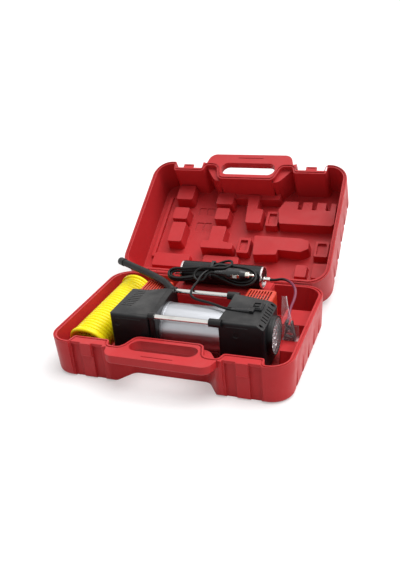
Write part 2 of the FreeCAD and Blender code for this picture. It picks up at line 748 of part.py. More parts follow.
def motor_barrel():
    tube = cylinder_x(barrel_left - 3.0, barrel_right, axis_y, axis_z, barrel_radius)
    ring = cylinder_x(barrel_left, barrel_left + 4.0, axis_y, axis_z, barrel_radius + 1.2)
    bore = cylinder_x(barrel_left - 4.0, barrel_right + 1.0, axis_y, axis_z, barrel_radius - barrel_wall)
    return tube.fuse(ring).cut(bore)


inner_radius = barrel_radius - barrel_wall
bell_thickness = 4.0


def motor_end_bells():
    bells = []
    for x0 in (barrel_left - 3.0, barrel_right - bell_thickness):
        disc = cylinder_x(x0, x0 + bell_thickness, axis_y, axis_z, inner_radius)
        bells.append(disc.cut(cylinder_x(x0 - 1.0, x0 + bell_thickness + 1.0, axis_y, axis_z, shaft_radius + 3.0)))
    return Part.makeCompound(bells)


def motor_bushes():
    bushes = []
    for x0 in (barrel_left - 3.0, barrel_right - bell_thickness):
        bush = cylinder_x(x0, x0 + bell_thickness, axis_y, axis_z, shaft_radius + 3.0)
        bushes.append(bush.cut(cylinder_x(x0 - 1.0, x0 + bell_thickness + 1.0, axis_y, axis_z,
                                          shaft_radius + running_gap)))
    return Part.makeCompound(bushes)


def motor_magnets():
    x0, x1 = barrel_left + 20.0, barrel_right - 22.0
    ring = cylinder_x(x0, x1, axis_y, axis_z, inner_radius)
    ring = ring.cut(cylinder_x(x0 - 1.0, x1 + 1.0, axis_y, axis_z, inner_radius - magnet_thickness))
    gap = box(x0 - 1.0, x1 + 1.0, axis_y - 12.0, axis_y + 12.0, axis_z - 50.0, axis_z + 50.0)
    return ring.cut(gap)


def motor_brushes():
    brushes = []
    x0 = barrel_right - 16.0
    for side in (-1, 1):
        y0 = axis_y + side * 9.2
        y1 = axis_y + side * (inner_radius - seat_gap)
        brushes.append(box(x0, x0 + 6.0, min(y0, y1), max(y0, y1), axis_z - 4.0, axis_z + 4.0))
    return Part.makeCompound(brushes)


def armature_shaft():
    left = left_root - gear_offset - gear_width - 1.0
    right = right_root + gear_offset + gear_width + 1.0
    return cylinder_x(left, right, axis_y, axis_z, shaft_radius)


def armature_core():
    x0, x1 = barrel_left + 22.0, barrel_right - 26.0
    core = cylinder_x(x0, x1, axis_y, axis_z, core_radius)
    slots = []
    for k in range(8):
        angle = math.radians(45.0 * k)
        y = axis_y + core_radius * math.sin(angle)
        z = axis_z + core_radius * math.cos(angle)
        slot = box(x0 - 1.0, x1 + 1.0, -2.0, 2.0, -6.0, 6.0)
        slot.rotate(V(0, 0, 0), V(1, 0, 0), -math.degrees(angle))
        slot.translate(V(0, y, z))
        slots.append(slot)
    core = without(core, slots)
    commutator = cylinder_x(x1, barrel_right - 8.0, axis_y, axis_z, 9.0)
    core = core.fuse(commutator)
    return core.cut(cylinder_x(x0 - 1.0, barrel_right, axis_y, axis_z, shaft_radius))


def toothed(teeth, x0, width, y, z, phase):
    # Straight-flanked teeth, thinner than half the pitch so that they run free.
    pitch_radius = tooth_module * teeth / 2
    root = pitch_radius - 1.15 * tooth_module
    tip = pitch_radius + 0.85 * tooth_module
    pitch = 2 * math.pi / teeth
    corners = []
    for k in range(teeth):
        middle = phase + k * pitch
        for offset, radius in ((-0.30, root), (-0.12, tip), (0.12, tip), (0.30, root)):
            angle = middle + offset * pitch
            corners.append(V(x0, y + radius * math.cos(angle), z + radius * math.sin(angle)))
    return Part.Face(Part.makePolygon(corners + [corners[0]])).extrude(V(width, 0, 0))


def gear_left_x(root, way):
    return root + way * gear_offset if way > 0 else root - gear_offset - gear_width


def drive_pinions():
    pinions = []
    for root, way in ((left_root, -1), (right_root, 1)):
        x0 = gear_left_x(root, way)
        pinion = toothed(pinion_teeth, x0, gear_width, axis_y, axis_z, 0.0)
        pinions.append(pinion.cut(cylinder_x(x0 - 1.0, x0 + gear_width + 1.0, axis_y, axis_z, shaft_radius)))
    return Part.makeCompound(pinions)


eye_start = cylinder_offset - 4.0


def crank_gear(root, way):
    # Gear, its axle towards the motor and the crank pin away from it.
    x0 = gear_left_x(root, way)
    wheel = toothed(gear_teeth, x0, gear_width, crank_y, axis_z, math.pi + math.pi / gear_teeth)
    near = root + way * gear_offset
    far = root + way * (gear_offset + gear_width)
    axle = cylinder_x(*sorted((root + way * 1.0, near)), crank_y, axis_z, crank_pin_radius)
    web = cylinder_x(*sorted((far, far + way * 5.0)), crank_y, axis_z, crank_throw + crank_pin_radius + 1.5)
    pin = cylinder_x(*sorted((far, root + way * (eye_start - 0.4))), crank_y - crank_throw, axis_z,
                     crank_pin_radius)
    return joined([wheel, axle, web, pin])


def cylinder_block(root, way):
    # Aluminium barrel with square cooling fins and a ribbed head.
    middle = root + way * cylinder_offset
    y0 = 0.5
    body = cylinder_y(y0, cylinder_rear, middle, axis_z, bore_radius + cylinder_wall)
    half = guard_half_width - guard_wall - 2.0
    fins = [body]
    for k in range(5):
        y = housing_rear + 4.0 + k * 7.0
        fins.append(box(middle - half, middle + half, y, y + 1.8, guard_bottom + 6.0, guard_top - 5.0))
    fins.append(box(middle - half + 4.0, middle + half - 4.0, cylinder_rear - 6.0, cylinder_rear + 3.0,
                    axis_z - 20.0, axis_z + 22.0))
    body = joined(fins)
    return body.cut(cylinder_y(y0 - 1.0, cylinder_rear - 8.0, middle, axis_z, bore_radius))


def piston(root, way):
    # Piston crown, wrist and rod in one: the eye stands clear of the crank pin's end.
    middle = root + way * cylinder_offset
    crown = cylinder_y(15.0, 25.0, middle, axis_z, bore_radius - running_gap)
    eye_y = crank_y - crank_throw
    stem = box(middle - 3.0, middle + 3.0, eye_y + 4.0, 16.0, axis_z - 3.5, axis_z + 3.5)
    eye = cylinder_x(middle - 4.0, middle + 4.0, eye_y, axis_z, 6.5)
    hole = cylinder_x(middle - 5.0, middle + 5.0, eye_y, axis_z, crank_pin_radius + running_gap)
    return joined([crown, stem, eye]).cut(hole)


def cylinder_guard(root, way):
    # The slotted cage over the finned cylinder: slots run back over the top and down the rear.
    middle = root + way * cylinder_offset
    x0, x1 = middle - guard_half_width, middle + guard_half_width
    outer = box(x0, x1, housing_rear, guard_rear, guard_bottom, guard_top)
    rounded_edges = [e for e in outer.Edges
                     if (e.BoundBox.YMin > guard_rear - 0.1 and e.BoundBox.YLength < 0.1)
                     or (e.BoundBox.ZMin > guard_top - 0.1 and e.BoundBox.YLength > 1.0)]
    outer = outer.makeFillet(5.0, rounded_edges)
    inner = box(x0 + guard_wall, x1 - guard_wall, housing_rear - 1.0, guard_rear - guard_wall,
                guard_bottom + guard_wall, guard_top - guard_wall)
    cage = outer.cut(inner)
    pitch = (2 * guard_half_width - 10.0) / guard_slots
    for k in range(guard_slots):
        x = x0 + 5.0 + (k + 0.5) * pitch - slot_width / 2
        cage = cage.cut(box(x, x + slot_width, housing_rear + 6.0, guard_rear - 8.0, guard_top - 4.0, guard_top + 1.0))
        cage = cage.cut(box(x, x + slot_width, guard_rear - 4.0, guard_rear + 1.0, guard_bottom + 10.0,
                            guard_top - 8.0))
    return cage


def tie_rod(y):
    return cylinder_x(barrel_left - rod_seat, right_root + 2.0, y, rod_z, rod_radius)


def rod_sockets():
    # Black collars that seat the rods in the right housing.
    sockets = []
    for y in (rod_front_y, rod_rear_y):
        x0, x1 = right_root - socket_length, right_root + 8.0
        collar = cylinder_x(x0, x1, y, rod_z, socket_radius)
        sockets.append(collar.cut(cylinder_x(x0 - 1.0, right_root + 2.0, y, rod_z, rod_radius)))
    return Part.makeCompound(sockets)


lamp_face = right_root + right_housing_length


def lamp_bezel():
    front = lamp_face + lamp_depth
    return revolved_x([(lamp_face, lens_radius), (lamp_face, lamp_radius), (front - 2.5, lamp_radius),
                       (front, lamp_radius - 1.2), (front, lens_radius - 0.8), (front - 1.5, lens_radius - 0.8),
                       (front - 1.5, lens_radius)], lamp_y, lamp_z)


def lamp_reflector():
    edge = lens_radius - 2.0
    return revolved_x([(lamp_face - 15.0, 9.0), (lamp_face - 6.0, 20.0), (lamp_face + 3.0, edge),
                       (lamp_face + 3.0, lens_radius - running_gap), (lamp_face + 1.8, lens_radius - running_gap),
                       (lamp_face + 1.8, edge + 0.6), (lamp_face - 7.0, 21.0), (lamp_face - 16.0, 9.8),
                       (lamp_face - 16.0, 9.0)], lamp_y, lamp_z)


def lamp_lens():
    x0 = lamp_face + 3.0
    front = lamp_face + lamp_depth
    return revolved_x([(x0, 0.0), (x0, lens_radius), (front - 1.5, lens_radius), (front - 1.5, lens_radius - 0.9),
                       (front, lens_radius - 0.9), (front + 1.0, 22.0), (front + 1.7, 11.0), (front + 2.0, 0.0)],
                      lamp_y, lamp_z)


def lamp_board():
    x0 = lamp_face - 18.5
    board = cylinder_x(x0, x0 + 2.0, lamp_y, lamp_z, 12.0)
    leds = [board]
    for k in range(3):
        angle = math.radians(90 + 120 * k)
        leds.append(cylinder_x(x0 + 2.0, x0 + 7.0, lamp_y + 4.6 * math.cos(angle), lamp_z + 4.6 * math.sin(angle), 2.5))
    return joined(leds)


def housing_screws():
    screws = []
    for y in (right_housing_front + 8.0, housing_rear - 8.0):
        head = cylinder_x(lamp_face - 12.0, lamp_face - 9.4, y, well_z, 3.2)
        slot = box(lamp_face - 10.4, lamp_face, y - 3.0, y + 3.0, well_z - 0.5, well_z + 0.5)
        screws.append(head.cut(slot))
    return Part.makeCompound(screws)


def rubber_feet():
    feet = []
    for x0, x1, front in ((left_root - left_housing_length, left_root, left_housing_front),
                          (right_root, lamp_face, right_housing_front)):
        for x in (x0 + 14.0, x1 - 14.0):
            for y in (front + 14.0, housing_rear - 14.0):
                feet.append(Part.makeCone(foot_radius - 1.0, foot_radius, housing_bottom - base_floor,
                                          V(x, y, base_floor)))
    return Part.makeCompound(feet)


def strain_relief():
    # Tapered and grooved, lying along the channel in the right housing's top.
    x1 = 124.0
    profile = [(x1, 0.0), (x1, 4.7)]
    for k in range(5):
        x = x1 - 4.0 - k * 5.0
        radius = 4.7 - 0.32 * (k + 1)
        profile += [(x, radius + 0.15), (x, radius - 0.6), (x - 1.6, radius - 0.7), (x - 1.6, radius)]
    profile += [(x1 - 32.0, cord_diameter / 2 + 0.5), (x1 - 32.0, 0.0)]
    return revolved_x(profile, relief_y, relief_z)


# Cords and hoses
def tangent_path(points, name, diameter):
    # Straight runs joined by arcs as large as the runs allow. The arcs' radii are printed.
    count = len(points)
    runs = [(points[k + 1] - points[k]).Length for k in range(count - 1)]
    edges = []
    radii = []
    start = points[0]
    for k in range(1, count - 1):
        back = points[k - 1] - points[k]
        ahead = points[k + 1] - points[k]
        back.normalize()
        ahead.normalize()
        half = back.getAngle(ahead) / 2
        reach = 0.45 * min(runs[k - 1], runs[k])
        radius = reach * math.tan(half)
        radii.append(radius)
        bisector = back + ahead
        bisector.normalize()
        first = points[k] + back * reach
        last = points[k] + ahead * reach
        mid = points[k] + bisector * (radius / math.sin(half) - radius)
        edges.append(Part.LineSegment(start, first).toShape())
        edges.append(Part.Arc(first, mid, last).toShape())
        start = last
    edges.append(Part.LineSegment(start, points[-1]).toShape())
    if radii:
        print(name, "radii in diameters", [round(r / diameter, 1) for r in radii])
    return Part.Wire(edges)


def ring_section(at, direction, diameter, sides):
    # A regular polygon square to the path, of the round section's area.
    direction = V(direction)
    direction.normalize()
    side = direction.cross(V(0, 0, 1))
    if side.Length < 0.1:
        side = direction.cross(V(1, 0, 0))
    side.normalize()
    up = side.cross(direction)
    radius = diameter / 2 * math.sqrt(2 * math.pi / (sides * math.sin(2 * math.pi / sides)))
    corners = []
    for k in range(sides):
        angle = 2 * math.pi * (k + 0.5) / sides
        corners.append(at + side * (radius * math.cos(angle)) + up * (radius * math.sin(angle)))
    return Part.makePolygon(corners + [corners[0]])


def tube_along(path, start, direction, diameter, name, sides=cord_sides):
    section = ring_section(start, direction, diameter, sides)
    solid = path.makePipeShell([section], True, False)
    expected = math.pi * diameter ** 2 / 4 * path.Length
    print(name, "length", round(path.Length, 1), "volume ratio", round(solid.Volume / expected, 4))
    return solid


def cord_tube(points, diameter, name, sides=cord_sides):
    path = tangent_path(points, name, diameter)
    return tube_along(path, points[0], points[1] - points[0], diameter, name, sides)


def arc_from_tangent(start, tangent, end):
    chord = end - start
    span = chord.Length
    along = V(chord)
    along.normalize()
    tangent = V(tangent)
    tangent.normalize()
    across = tangent - along * tangent.dot(along)
    across.normalize()
    angle = along.getAngle(tangent)
    middle = (start + end) * 0.5 + across * (span / 2 * math.tan(angle / 2))
    return Part.Arc(start, middle, end).toShape()


def biarc(p0, t0, p1, t1):
    # Two arcs that leave p0 along t0 and reach p1 along t1.
    v = p1 - p0
    t = t0 + t1
    k = 2 * (1 - t0.dot(t1))
    b = v.dot(t)
    d = (-b + math.sqrt(b * b + k * v.dot(v))) / k
    joint = (p0 + p1 + (t0 - t1) * d) * 0.5
    return [arc_from_tangent(p0, t0, joint),
            Part.Arc(joint, _mirror_middle(joint, t1, p1), p1).toShape()]


def _mirror_middle(joint, end_tangent, end):
    chord = joint - end
    along = V(chord)
    along.normalize()
    back = end_tangent * -1
    across = back - along * back.dot(along)
    across.normalize()
    angle = along.getAngle(back)
    return (joint + end) * 0.5 + across * (chord.Length / 2 * math.tan(angle / 2))


def helix_point(turn):
    angle = 2 * math.pi * turn
    return V(coil_axis_x + coil_radius * math.cos(angle), coil_front_y + coil_pitch * turn,
             coil_z + coil_radius * math.sin(angle))


def helix_tangent(turn):
    angle = 2 * math.pi * turn
    tangent = V(-coil_radius * math.sin(angle), coil_pitch / (2 * math.pi), coil_radius * math.cos(angle))
    tangent.normalize()
    return tangent


coil_z = base_floor + seat_gap + coil_radius + coil_tube / 2


def coil_hose():
    turns = coil_half_turns / 2
    quarters = coil_half_turns * 2
    start = helix_point(0.0)
    edges = [Part.LineSegment(start - helix_tangent(0.0) * coil_tube, start).toShape()]
    for k in range(quarters):
        a, b = k / 4, (k + 1) / 4
        edges += biarc(helix_point(a), helix_tangent(a), helix_point(b), helix_tangent(b))
    end = helix_point(turns)
    edges.append(Part.LineSegment(end, end + helix_tangent(turns) * coil_tube).toShape())
    path = Part.Wire(edges)
    print("coil_hose least gap", least_gap(path, coil_tube))
    return tube_along(path, start - helix_tangent(0.0) * coil_tube, helix_tangent(0.0), coil_tube, "coil_hose", 6)


def hose_fitting(point, direction):
    # Crimped ferrule and a plain tail, square to the hose's end.
    direction = V(direction)
    direction.normalize()
    sleeve = Part.makeCylinder(4.5, 14.0, point, direction)
    collar = Part.makeCylinder(4.1, 3.0, point + direction * 14.0, direction)
    tail = Part.makeCylinder(3.4, 8.0, point + direction * 17.0, direction)
    body = joined([sleeve, collar, tail])
    return body.cut(Part.makeCylinder(2.0, 9.0, point + direction * 17.0, direction))


def coil_front_fitting():
    return hose_fitting(helix_point(0.0) - helix_tangent(0.0) * coil_tube, helix_tangent(0.0) * -1)


def coil_rear_fitting():
    turns = coil_half_turns / 2
    return hose_fitting(helix_point(turns) + helix_tangent(turns) * coil_tube, helix_tangent(turns))


# The hank leans on the accessory tube: u runs along it, v up its slope and n away from it.
tube_z = platform_top + tube_radius + seat_gap
lean = math.radians(55.0)
hank_n = V(0, -math.cos(lean), math.sin(lean))
hank_v = V(0, math.sin(lean), math.cos(lean))
hank_middle_x = 12.0
hank_lift = 1.6
layer_step = 5.5
turns_per_layer = 1.5


def hank_point(u, v, n):
    reach = tube_radius + hank_lift + cord_diameter / 2 + n
    return V(hank_middle_x + u, tube_y, tube_z) + hank_n * reach + hank_v * v


# The innermost loop, once round from the right lobe's upper side, about the hank's middle line.
inner_loop = [(54.0, 10.8), (70.0, 9.6), (78.0, 5.6), (80.5, 0.0), (78.0, -5.6), (70.0, -9.6), (54.0, -10.8),
              (28.0, -6.8), (0.0, -2.8), (-28.0, -4.6), (-56.0, -6.0), (-74.0, -5.8), (-80.0, 0.0),
              (-74.0, 5.8), (-56.0, 6.0), (-28.0, 4.6), (0.0, 2.8), (28.0, 6.8)]


def hank_strand(position, r):
    # Point of the strand that lies r steps outside the innermost loop, at a whole or broken position round it.
    count = len(inner_loop)
    k = int(position) % count
    part = position - int(position)
    (ua, va), (ub, vb) = inner_loop[k], inner_loop[(k + 1) % count]
    pu, pv = inner_loop[k - 1]
    nu, nv = inner_loop[(k + 2) % count]
    tu, tv = (ub - pu) * (1 - part) + (nu - ua) * part, (vb - pv) * (1 - part) + (nv - va) * part
    length = math.hypot(tu, tv)
    u = ua + (ub - ua) * part - tv / length * hank_step * r
    v = va + (vb - va) * part + tu / length * hank_step * r
    middle = -9.0 - (11.0 if u > 0 else 13.0) * min(1.0, abs(u) / 56.0)
    return u, v + middle


def hank_corners():
    # Upper layer spiralling in, then the lower layer spiralling out, always the same way round.
    count = len(inner_loop)
    half_count = int(turns_per_layer * count)
    u, v = hank_strand(count - 0.6, turns_per_layer)
    points = [hank_point(u, v, layer_step)]
    for k in range(2 * half_count - 1):
        upper = k < half_count
        r = turns_per_layer - k / count if upper else (k - half_count + 1) / count
        u, v = hank_strand(k, r)
        points.append(hank_point(u, v, layer_step if upper else 0.0))
    return points


def least_gap(path, diameter):
    # Least clear space between a tube and the rest of itself, measured along its middle line.
    count = int(path.Length / 2.0)
    points = path.discretize(Number=count)
    skip = int(3.2 * diameter / 2.0)
    best = 1e9
    for i in range(count):
        for j in range(i + skip, count):
            best = min(best, points[i].distanceToPoint(points[j]))
    return round(best - diameter, 2)


def smooth_path(points, diameter):
    # Two arcs between every pair of points, with a straight end one diameter long.
    tangents = []
    last = len(points) - 1
    for k in range(len(points)):
        before = points[max(k - 1, 0)]
        after = points[min(k + 1, last)]
        here = points[k]
        if k == 0 or k == last:
            tangent = after - before
        else:
            first, second = here - before, after - here
            tangent = first * (second.Length / first.Length) + second * (first.Length / second.Length)
        tangent.normalize()
        tangents.append(tangent)
    start = points[0] - tangents[0] * diameter
    edges = [Part.LineSegment(start, points[0]).toShape()]
    for k in range(last):
        edges += biarc(points[k], tangents[k], points[k + 1], tangents[k + 1])
    edges.append(Part.LineSegment(points[-1], points[-1] + tangents[-1] * diameter).toShape())
    return Part.Wire(edges), start, tangents


def cord_hank():
    points = hank_corners()
    path, start, tangents = smooth_path(points, cord_diameter)
    print("cord_hank least gap", least_gap(path, cord_diameter))
    return tube_along(path, start, tangents[0], cord_diameter, "cord_hank")


def hank_ends():
    points = hank_corners()
    path, start, tangents = smooth_path(points, cord_diameter)
    return start, tangents[0], points[-1] + tangents[-1] * cord_diameter, tangents[-1]


def power_cord():
    # From the strain relief over the motor and the rear rod to the hank's outermost upper strand.
    start, tangent = hank_ends()[:2]
    points = list(cord_points)
    for u, v, n in ((-12.5, -36.0, 20.5), (-10.0, -24.0, 15.6), (-1.0, -13.0, 12.3), (9.0, -2.5, 12.6),
                    (18.0, 1.0, 9.6)):
        points.append(hank_point(u, v, n))
    points.append(start - tangent * 6.0)
    points.append(start)
    return cord_tube(points, cord_diameter, "power_cord")


def cord_tail():
    # The hank's far end: a loop that stands up, a second one beside the waist, then the plug.
    start, tangent = hank_ends()[2:]
    points = [start, start + tangent * 8.0]
    route = ((22.0, 12.0, 4.0), (36.0, 11.0, 8.5), (40.0, 0.0, 13.5), (30.0, -10.0, 15.5), (14.0, -12.0, 17.0),
             (0.0, -12.5, 17.8), (-13.0, -13.0, 17.8), (-25.0, -19.0, 15.8), (-28.0, -31.5, 13.4),
             (-17.0, -39.5, 12.8), (-6.0, -36.0, 13.6), (-2.5, -26.5, 16.0), (5.0, -21.0, 17.1),
             (12.0, -21.0, 17.1))
    for u, v, n in route:
        points.append(hank_point(u, v, n))
    return cord_tube(points, cord_diameter, "cord_tail")


def cord_tie():
    # Flat strap round the hank's waist, with its buckle on the upper edge.
    u0, u1 = -2.5, 2.5
    low, high = hank_strand(8, turns_per_layer)[1] - 3.2, hank_strand(16, turns_per_layer)[1] + 3.2
    below, above = -cord_diameter / 2 - 0.3, layer_step + cord_diameter / 2 + 0.3
    thick = 1.0
    solids = []
    for grow in (thick, 0.0):
        corners = [hank_point(u0, low - grow, below - grow), hank_point(u0, high + grow, below - grow),
                   hank_point(u0, high + grow, above + grow), hank_point(u0, low - grow, above + grow)]
        face = Part.Face(Part.makePolygon(corners + [corners[0]]))
        solid = face.extrude(V(u1 - u0, 0, 0))
        edges = [e for e in solid.Edges if abs(e.BoundBox.XLength - (u1 - u0)) < 0.01]
        solids.append(solid.makeFillet(2.0 + grow, edges))
    band = solids[0].cut(solids[1])
    corners = [hank_point(u0 - 1.0, high + thick - 0.2, below + 0.5), hank_point(u0 - 1.0, high + 4.5, below + 0.5),
               hank_point(u0 - 1.0, high + 4.5, above - 3.0), hank_point(u0 - 1.0, high + thick - 0.2, above - 3.0)]
    buckle = Part.Face(Part.makePolygon(corners + [corners[0]])).extrude(V(u1 - u0 + 2.0, 0, 0))
    return band.fuse(buckle)


# Lighter plug, lying along X in the hank's right lobe.
plug_length = 66.0
plug_radius = 10.2
plug_rear = hank_middle_x + 12.0
plug_seat = hank_point(0.0, -21.0, 17.1)
plug_y = plug_seat.y
plug_z = plug_seat.z
ring_start = plug_rear + 59.0
tip_radius = 2.5
tip_travel = 4.0


def plug_body():
    x = plug_rear
    profile = [(x, 0.0), (x, 3.4)]
    for k in range(4):
        profile += [(x + 2.5 + 4 * k, 3.7 + 0.45 * k), (x + 2.5 + 4 * k, 3.1 + 0.45 * k),
                    (x + 4.2 + 4 * k, 3.3 + 0.45 * k), (x + 4.2 + 4 * k, 4.0 + 0.45 * k)]
    profile += [(x + 20.0, 6.0), (x + 24.0, 9.0), (x + 27.0, plug_radius), (x + 50.0, plug_radius),
                (x + 52.0, 8.6), (ring_start, 7.4), (ring_start, 0.0)]
    body = revolved_x(profile, plug_y, plug_z)
    well = cylinder_x(ring_start - 27.0, ring_start + 1.0, plug_y, plug_z, 3.6)
    pockets = [well]
    for side in (-1, 1):
        y0 = plug_y + side * (plug_radius - 1.6)
        y1 = plug_y + side * (plug_radius + 2.0)
        pockets.append(box(x + 33.0, x + 49.5, min(y0, y1), max(y0, y1), plug_z - 3.2, plug_z + 3.2))
    return without(body, pockets)


def plug_contacts():
    # Bowed side strips that earth the plug in its socket.
    strips = []
    x = plug_rear + 33.3
    for side in (-1, 1):
        y = plug_y + side * (plug_radius - 1.6)
        bow = [(x, y), (x + 15.9, y), (x + 15.9, y + side * 1.0), (x + 12.0, y + side * 2.7),
               (x + 4.0, y + side * 2.7), (x, y + side * 1.0)]
        strip = polygon_face(bow, "z", plug_z - 2.9).extrude(V(0, 0, 5.8))
        strips.append(strip)
    return Part.makeCompound(strips)


def plug_ring():
    ring = revolved_x([(ring_start, tip_radius + running_gap), (ring_start, 5.8), (ring_start + 6.2, 5.8),
                       (ring_start + 7.4, 4.6), (ring_start + 7.4, tip_radius + running_gap)], plug_y, plug_z)
    return ring


def plug_tip():
    # Sprung centre pin; its collar stays behind the ring.
    return revolved_x([(ring_start - 3.0, 0.0), (ring_start - 3.0, 3.4), (ring_start, 3.4), (ring_start, tip_radius),
                       (ring_start + 13.6, tip_radius), (ring_start + 15.4, 1.4), (ring_start + 15.4, 0.0)],
                      plug_y, plug_z)


def plug_spring():
    # Compression spring between the well's end and the pin's collar.
    x0, x1 = ring_start - 26.4, ring_start - 3.8
    turns, radius, wire = 5, 2.6, 0.8
    points = []
    for k in range(turns * 4 + 1):
        angle = math.pi / 2 * k
        points.append(V(x0 + (x1 - x0) * k / (turns * 4), plug_y + radius * math.cos(angle),
                        plug_z + radius * math.sin(angle)))
    rise = (x1 - x0) / turns / (2 * math.pi)
    edges = []
    for k in range(turns * 4):
        a, b = math.pi / 2 * k, math.pi / 2 * (k + 1)
        t0 = V(rise, -radius * math.sin(a), radius * math.cos(a))
        t1 = V(rise, -radius * math.sin(b), radius * math.cos(b))
        t0.normalize()
        t1.normalize()
        edges += biarc(points[k], t0, points[k + 1], t1)
    return tube_along(Part.Wire(edges), points[0], V(rise, 0, radius), wire, "plug_spring", 4)


# Accessory tube with its fitting, lead and clamp
fitting_y = 104.0
fitting_z = 95.5


def accessory_tube():
    tube = cylinder_x(tube_left + 3.0, tube_right - 3.0, tube_y, tube_z, tube_radius)
    bore = cylinder_x(tube_left + 6.0, tube_right - 6.0, tube_y, tube_z, tube_radius - 2.2)
    neck = cylinder_x(tube_right - 7.0, tube_right, fitting_y, fitting_z, 4.0)
    return tube.cut(bore).cut(neck)


def accessory_tube_rings():
    # Pale end rings, pressed over the tube's two ends.
    rings = []
    for x0, x1 in ((tube_left, tube_left + 3.0), (tube_right - 3.0, tube_right)):
        ring = cylinder_x(x0, x1, tube_y, tube_z, tube_radius)
        rings.append(ring.cut(cylinder_x(x0 - 1.0, x1 + 1.0, tube_y, tube_z, tube_radius - 2.0)))
    return Part.makeCompound(rings)


def accessory_fitting():
    x = tube_right - 6.0
    parts = [cylinder_x(x, x + 5.0, fitting_y, fitting_z, 4.0), cylinder_x(x + 3.0, x + 10.0, fitting_y, fitting_z, 5.4),
             cylinder_x(x + 10.0, x + 13.0, fitting_y, fitting_z, 3.8),
             cylinder_x(x + 13.0, x + 20.0, fitting_y, fitting_z, 4.6)]
    return joined(parts)


clamp_x = 181.0
clamp_y = -6.0
clamp_low = 41.0
clamp_pivot_z = 60.0
clamp_width = 9.6
lead_end = V(175.6, 1.0, 71.5)

lead_points = [V(119.0, 104.0, 95.5), V(129.0, 104.0, 95.5), V(141.0, 100.0, 101.0), V(154.0, 91.0, 104.0),
               V(166.0, 80.0, 103.5), V(174.0, 68.0, 100.0), V(177.0, 56.0, 94.5), V(176.5, 44.0, 88.0),
               V(173.8, 33.0, 81.0), V(173.6, 22.0, 75.0), V(175.6, 12.0, 71.5), lead_end]


def clamp_plate(corners, y0, y1):
    return polygon_face(corners, "y", y0).extrude(V(0, y1 - y0, 0))


def clamp_half(side, ear_reach):
    # One handle and jaw: a bent outer plate with two ears at the pivot and teeth along the jaw's lip.
    half = clamp_width / 2
    top = clamp_low + 34.0
    x = clamp_x
    plate = [(x + side * 2.2, top), (x + side * 5.4, top), (x + side * 6.6, clamp_pivot_z + 2.0),
             (x + side * 10.6, clamp_low), (x + side * 0.15, clamp_low), (x + side * 0.15, clamp_low + 5.0),
             (x + side * 8.0, clamp_low + 7.0), (x + side * 4.6, clamp_pivot_z + 2.0)]
    body = clamp_plate(plate, clamp_y - half + 0.0, clamp_y + half)
    ear = [(x - side * 2.6, clamp_pivot_z + 2.6), (x + side * 5.4, clamp_pivot_z + 5.0),
           (x + side * 6.5, clamp_pivot_z - 6.0), (x - side * 2.6, clamp_pivot_z - 2.6)]
    for way in (-1, 1):
        outer = clamp_y + way * ear_reach
        inner = outer - way * 1.4
        body = body.fuse(clamp_plate(ear, min(outer, inner), max(outer, inner)))
    teeth = []
    for k in range(3):
        z = clamp_low + 0.4 + 1.5 * k
        teeth.append(box(*sorted((x, x + side * 0.8)), clamp_y - half - 1.0, clamp_y + half + 1.0, z, z + 0.7))
    return without(body, teeth)


def clamp_fixed_jaw():
    body = clamp_half(-1, clamp_width / 2)
    sleeve = cylinder_y(clamp_y - 2.0, lead_end.y, lead_end.x, lead_end.z, lead_diameter / 2 + 0.9)
    body = body.fuse(sleeve)
    return body.cut(cylinder_y(clamp_y - 9.0, clamp_y + 9.0, clamp_x, clamp_pivot_z, 1.0))


def clamp_moving_jaw():
    body = clamp_half(1, clamp_width / 2 - 1.7)
    return body.cut(cylinder_y(clamp_y - 9.0, clamp_y + 9.0, clamp_x, clamp_pivot_z, 1.0 + running_gap))


def clamp_pin():
    reach = clamp_width / 2
    pin = cylinder_y(clamp_y - reach, clamp_y + reach, clamp_x, clamp_pivot_z, 1.0)
    head = cylinder_y(clamp_y - reach - 0.8, clamp_y - reach, clamp_x, clamp_pivot_z, 1.8)
    return pin.fuse(head)


def clamp_spring():
    # Torsion spring round the pin between the inner ears.
    turns, radius, wire = 3, 1.7, 0.5
    y0, y1 = clamp_y - 1.2, clamp_y + 1.2
    rise = (y1 - y0) / turns / (2 * math.pi)
    edges = []
    ends = []
    for k in range(turns * 4):
        pair = []
        for angle in (math.pi / 2 * k, math.pi / 2 * (k + 1)):
            point = V(clamp_x + radius * math.cos(angle), y0 + rise * angle, clamp_pivot_z + radius * math.sin(angle))
            tangent = V(-radius * math.sin(angle), rise, radius * math.cos(angle))
            tangent.normalize()
            pair += [point, tangent]
        ends.append(pair)
        edges += biarc(*pair)
    return tube_along(Part.Wire(edges), ends[0][0], ends[0][1], wire, "clamp_spring", 4)


def accessory_bag():
    # Clear film bag: a tall front, a folded right edge, a bottom and a short rear.
    film = 0.35
    front = clamp_y - 7.0
    rear = clamp_y + 8.5
    left, right = lamp_face + lamp_depth + 2.6, case_width / 2 - 19.0
    low = base_floor + 33.0 + film + seat_gap
    section = [(front + 9.0, 121.0), (front + 1.0, 98.0), (front, 70.0), (front, low + 1.0), (front + 1.0, low),
               (rear - 1.0, low), (rear, low + 1.0), (rear, 64.0)]
    thick = []
    for k in range(len(section) - 1):
        (ya, za), (yb, zb) = section[k], section[k + 1]
        run = math.hypot(yb - ya, zb - za)
        ny, nz = (za - zb) / run * film, (yb - ya) / run * film
        thick.append((ya, za, ny, nz))
    outer = list(section)
    inner = [(ya - ny, za - nz) for ya, za, ny, nz in thick]
    last_y, last_z = section[-1]
    inner.append((last_y - thick[-1][2], last_z - thick[-1][3]))
    profile = outer + list(reversed(inner))
    sheet = polygon_face(profile, "x", left).extrude(V(right - left, 0, 0))
    seam = polygon_face([(front, low + 1.0), (front + 7.0, low), (front + 7.0, 74.0), (front + 9.0, 118.0),
                         (front + 1.0, 98.0), (front, 70.0)], "x", right - film).extrude(V(film, 0, 0))
    return sheet.fuse(seam)


